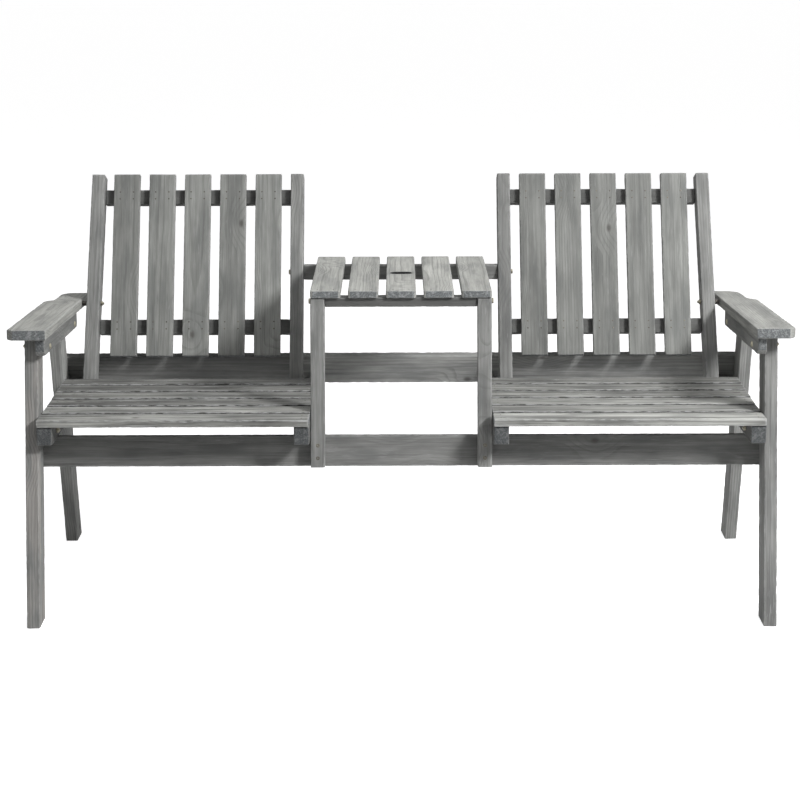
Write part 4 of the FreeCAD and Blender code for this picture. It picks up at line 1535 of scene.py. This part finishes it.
class BENCH_OT_stage(bpy.types.Operator):
    """Sets up the floor, the lamps, the white surroundings and the camera"""
    bl_idname = "bench.stage"
    bl_label = "Stage"

    def execute(self, context):
        stage = context.scene.bench_stage
        self.surroundings(context, stage)
        for name in LAMPS:
            aimed_lamp(context, name, getattr(stage, name + "_power"))
        self.floor(context, stage)
        self.camera(context, stage)
        context.scene.view_settings.view_transform = "Standard"
        return {"FINISHED"}

    def surroundings(self, context, stage):
        world = bpy.data.worlds.new("studio")
        world.use_nodes = True
        background = world.node_tree.nodes["Background"].inputs
        link(WHITE, background["Color"])
        link(seen_directly(world.node_tree) * (1 - stage.ambient) + stage.ambient,
             background["Strength"])
        context.scene.world = world

    def floor(self, context, stage):
        mesh = bpy.data.meshes.new("floor")
        corners = [(-1, -1), (1, -1), (1, 1), (-1, 1)]
        mesh.from_pydata([(x * FLOOR_REACH, y * FLOOR_REACH, 0) for x, y in corners], [],
                         [(0, 1, 2, 3)])
        material = bpy.data.materials.new("pale floor")
        material.use_nodes = True
        shader = material.node_tree.nodes["Principled BSDF"].inputs
        glow = seen_directly(material.node_tree) * stage.floor_glow
        for key, value in (("Base Color", shade(WHITE, FLOOR_GREY)), ("Roughness", 0.9),
                           ("Specular IOR Level", 0.1), ("Emission Color", WHITE),
                           ("Emission Strength", glow)):
            link(value, shader[key])
        mesh.materials.append(material)
        floor = bpy.data.objects.new("floor", mesh)
        context.scene.collection.objects.link(floor)

    def camera(self, context, stage):
        camera = bpy.data.cameras.new("camera")
        camera.sensor_width = SENSOR_WIDTH
        camera.lens = stage.focal_length
        camera.shift_y = stage.camera_shift
        obj = bpy.data.objects.new("camera", camera)
        pose = Matrix.Translation(Vector(stage.camera_place))
        pose = pose @ Matrix.Rotation(-stage.camera_yaw, 4, "Z")
        pose = pose @ Matrix.Rotation(math.radians(90) - stage.camera_pitch, 4, "X")
        obj.matrix_world = pose @ Matrix.Rotation(-stage.camera_roll, 4, "Z")
        context.scene.collection.objects.link(obj)
        context.scene.camera = obj


class BENCH_PT_panel(bpy.types.Panel):
    """Lists the bench's pieces in the sidebar"""
    bl_idname = "BENCH_PT_panel"
    bl_label = "Bench"
    bl_space_type = "VIEW_3D"
    bl_region_type = "UI"
    bl_category = "Bench"

    def draw(self, context):
        for operator in OPERATORS:
            self.layout.operator(operator.bl_idname)
        for key in SETTINGS:
            group = getattr(context.scene, key)
            box = self.layout.box()
            for name in group.__annotations__:
                box.prop(group, name)


OPERATORS = (BENCH_OT_side_frames, BENCH_OT_armrests, BENCH_OT_rails, BENCH_OT_backrests,
             BENCH_OT_seats, BENCH_OT_table, BENCH_OT_fasteners, BENCH_OT_stage)
SETTINGS = {"bench_angles": BenchAngles, "bench_boards": BoardSizes, "bench_wear": WearSizes,
            "bench_stain": StainColours, "bench_fasteners": FastenerSizes,
            "bench_stage": StageSettings}


def register():
    for kind in tuple(SETTINGS.values()) + OPERATORS + (BENCH_PT_panel,):
        bpy.utils.register_class(kind)
    for key, kind in SETTINGS.items():
        setattr(bpy.types.Scene, key, PointerProperty(type=kind))


def unregister():
    for key in SETTINGS:
        delattr(bpy.types.Scene, key)
    for kind in reversed(tuple(SETTINGS.values()) + OPERATORS + (BENCH_PT_panel,)):
        bpy.utils.unregister_class(kind)


def main():
    register()
    for operator in OPERATORS:
        family, name = operator.bl_idname.split(".")
        getattr(getattr(bpy.ops, family), name)()


if __name__ == "__main__":
    main()
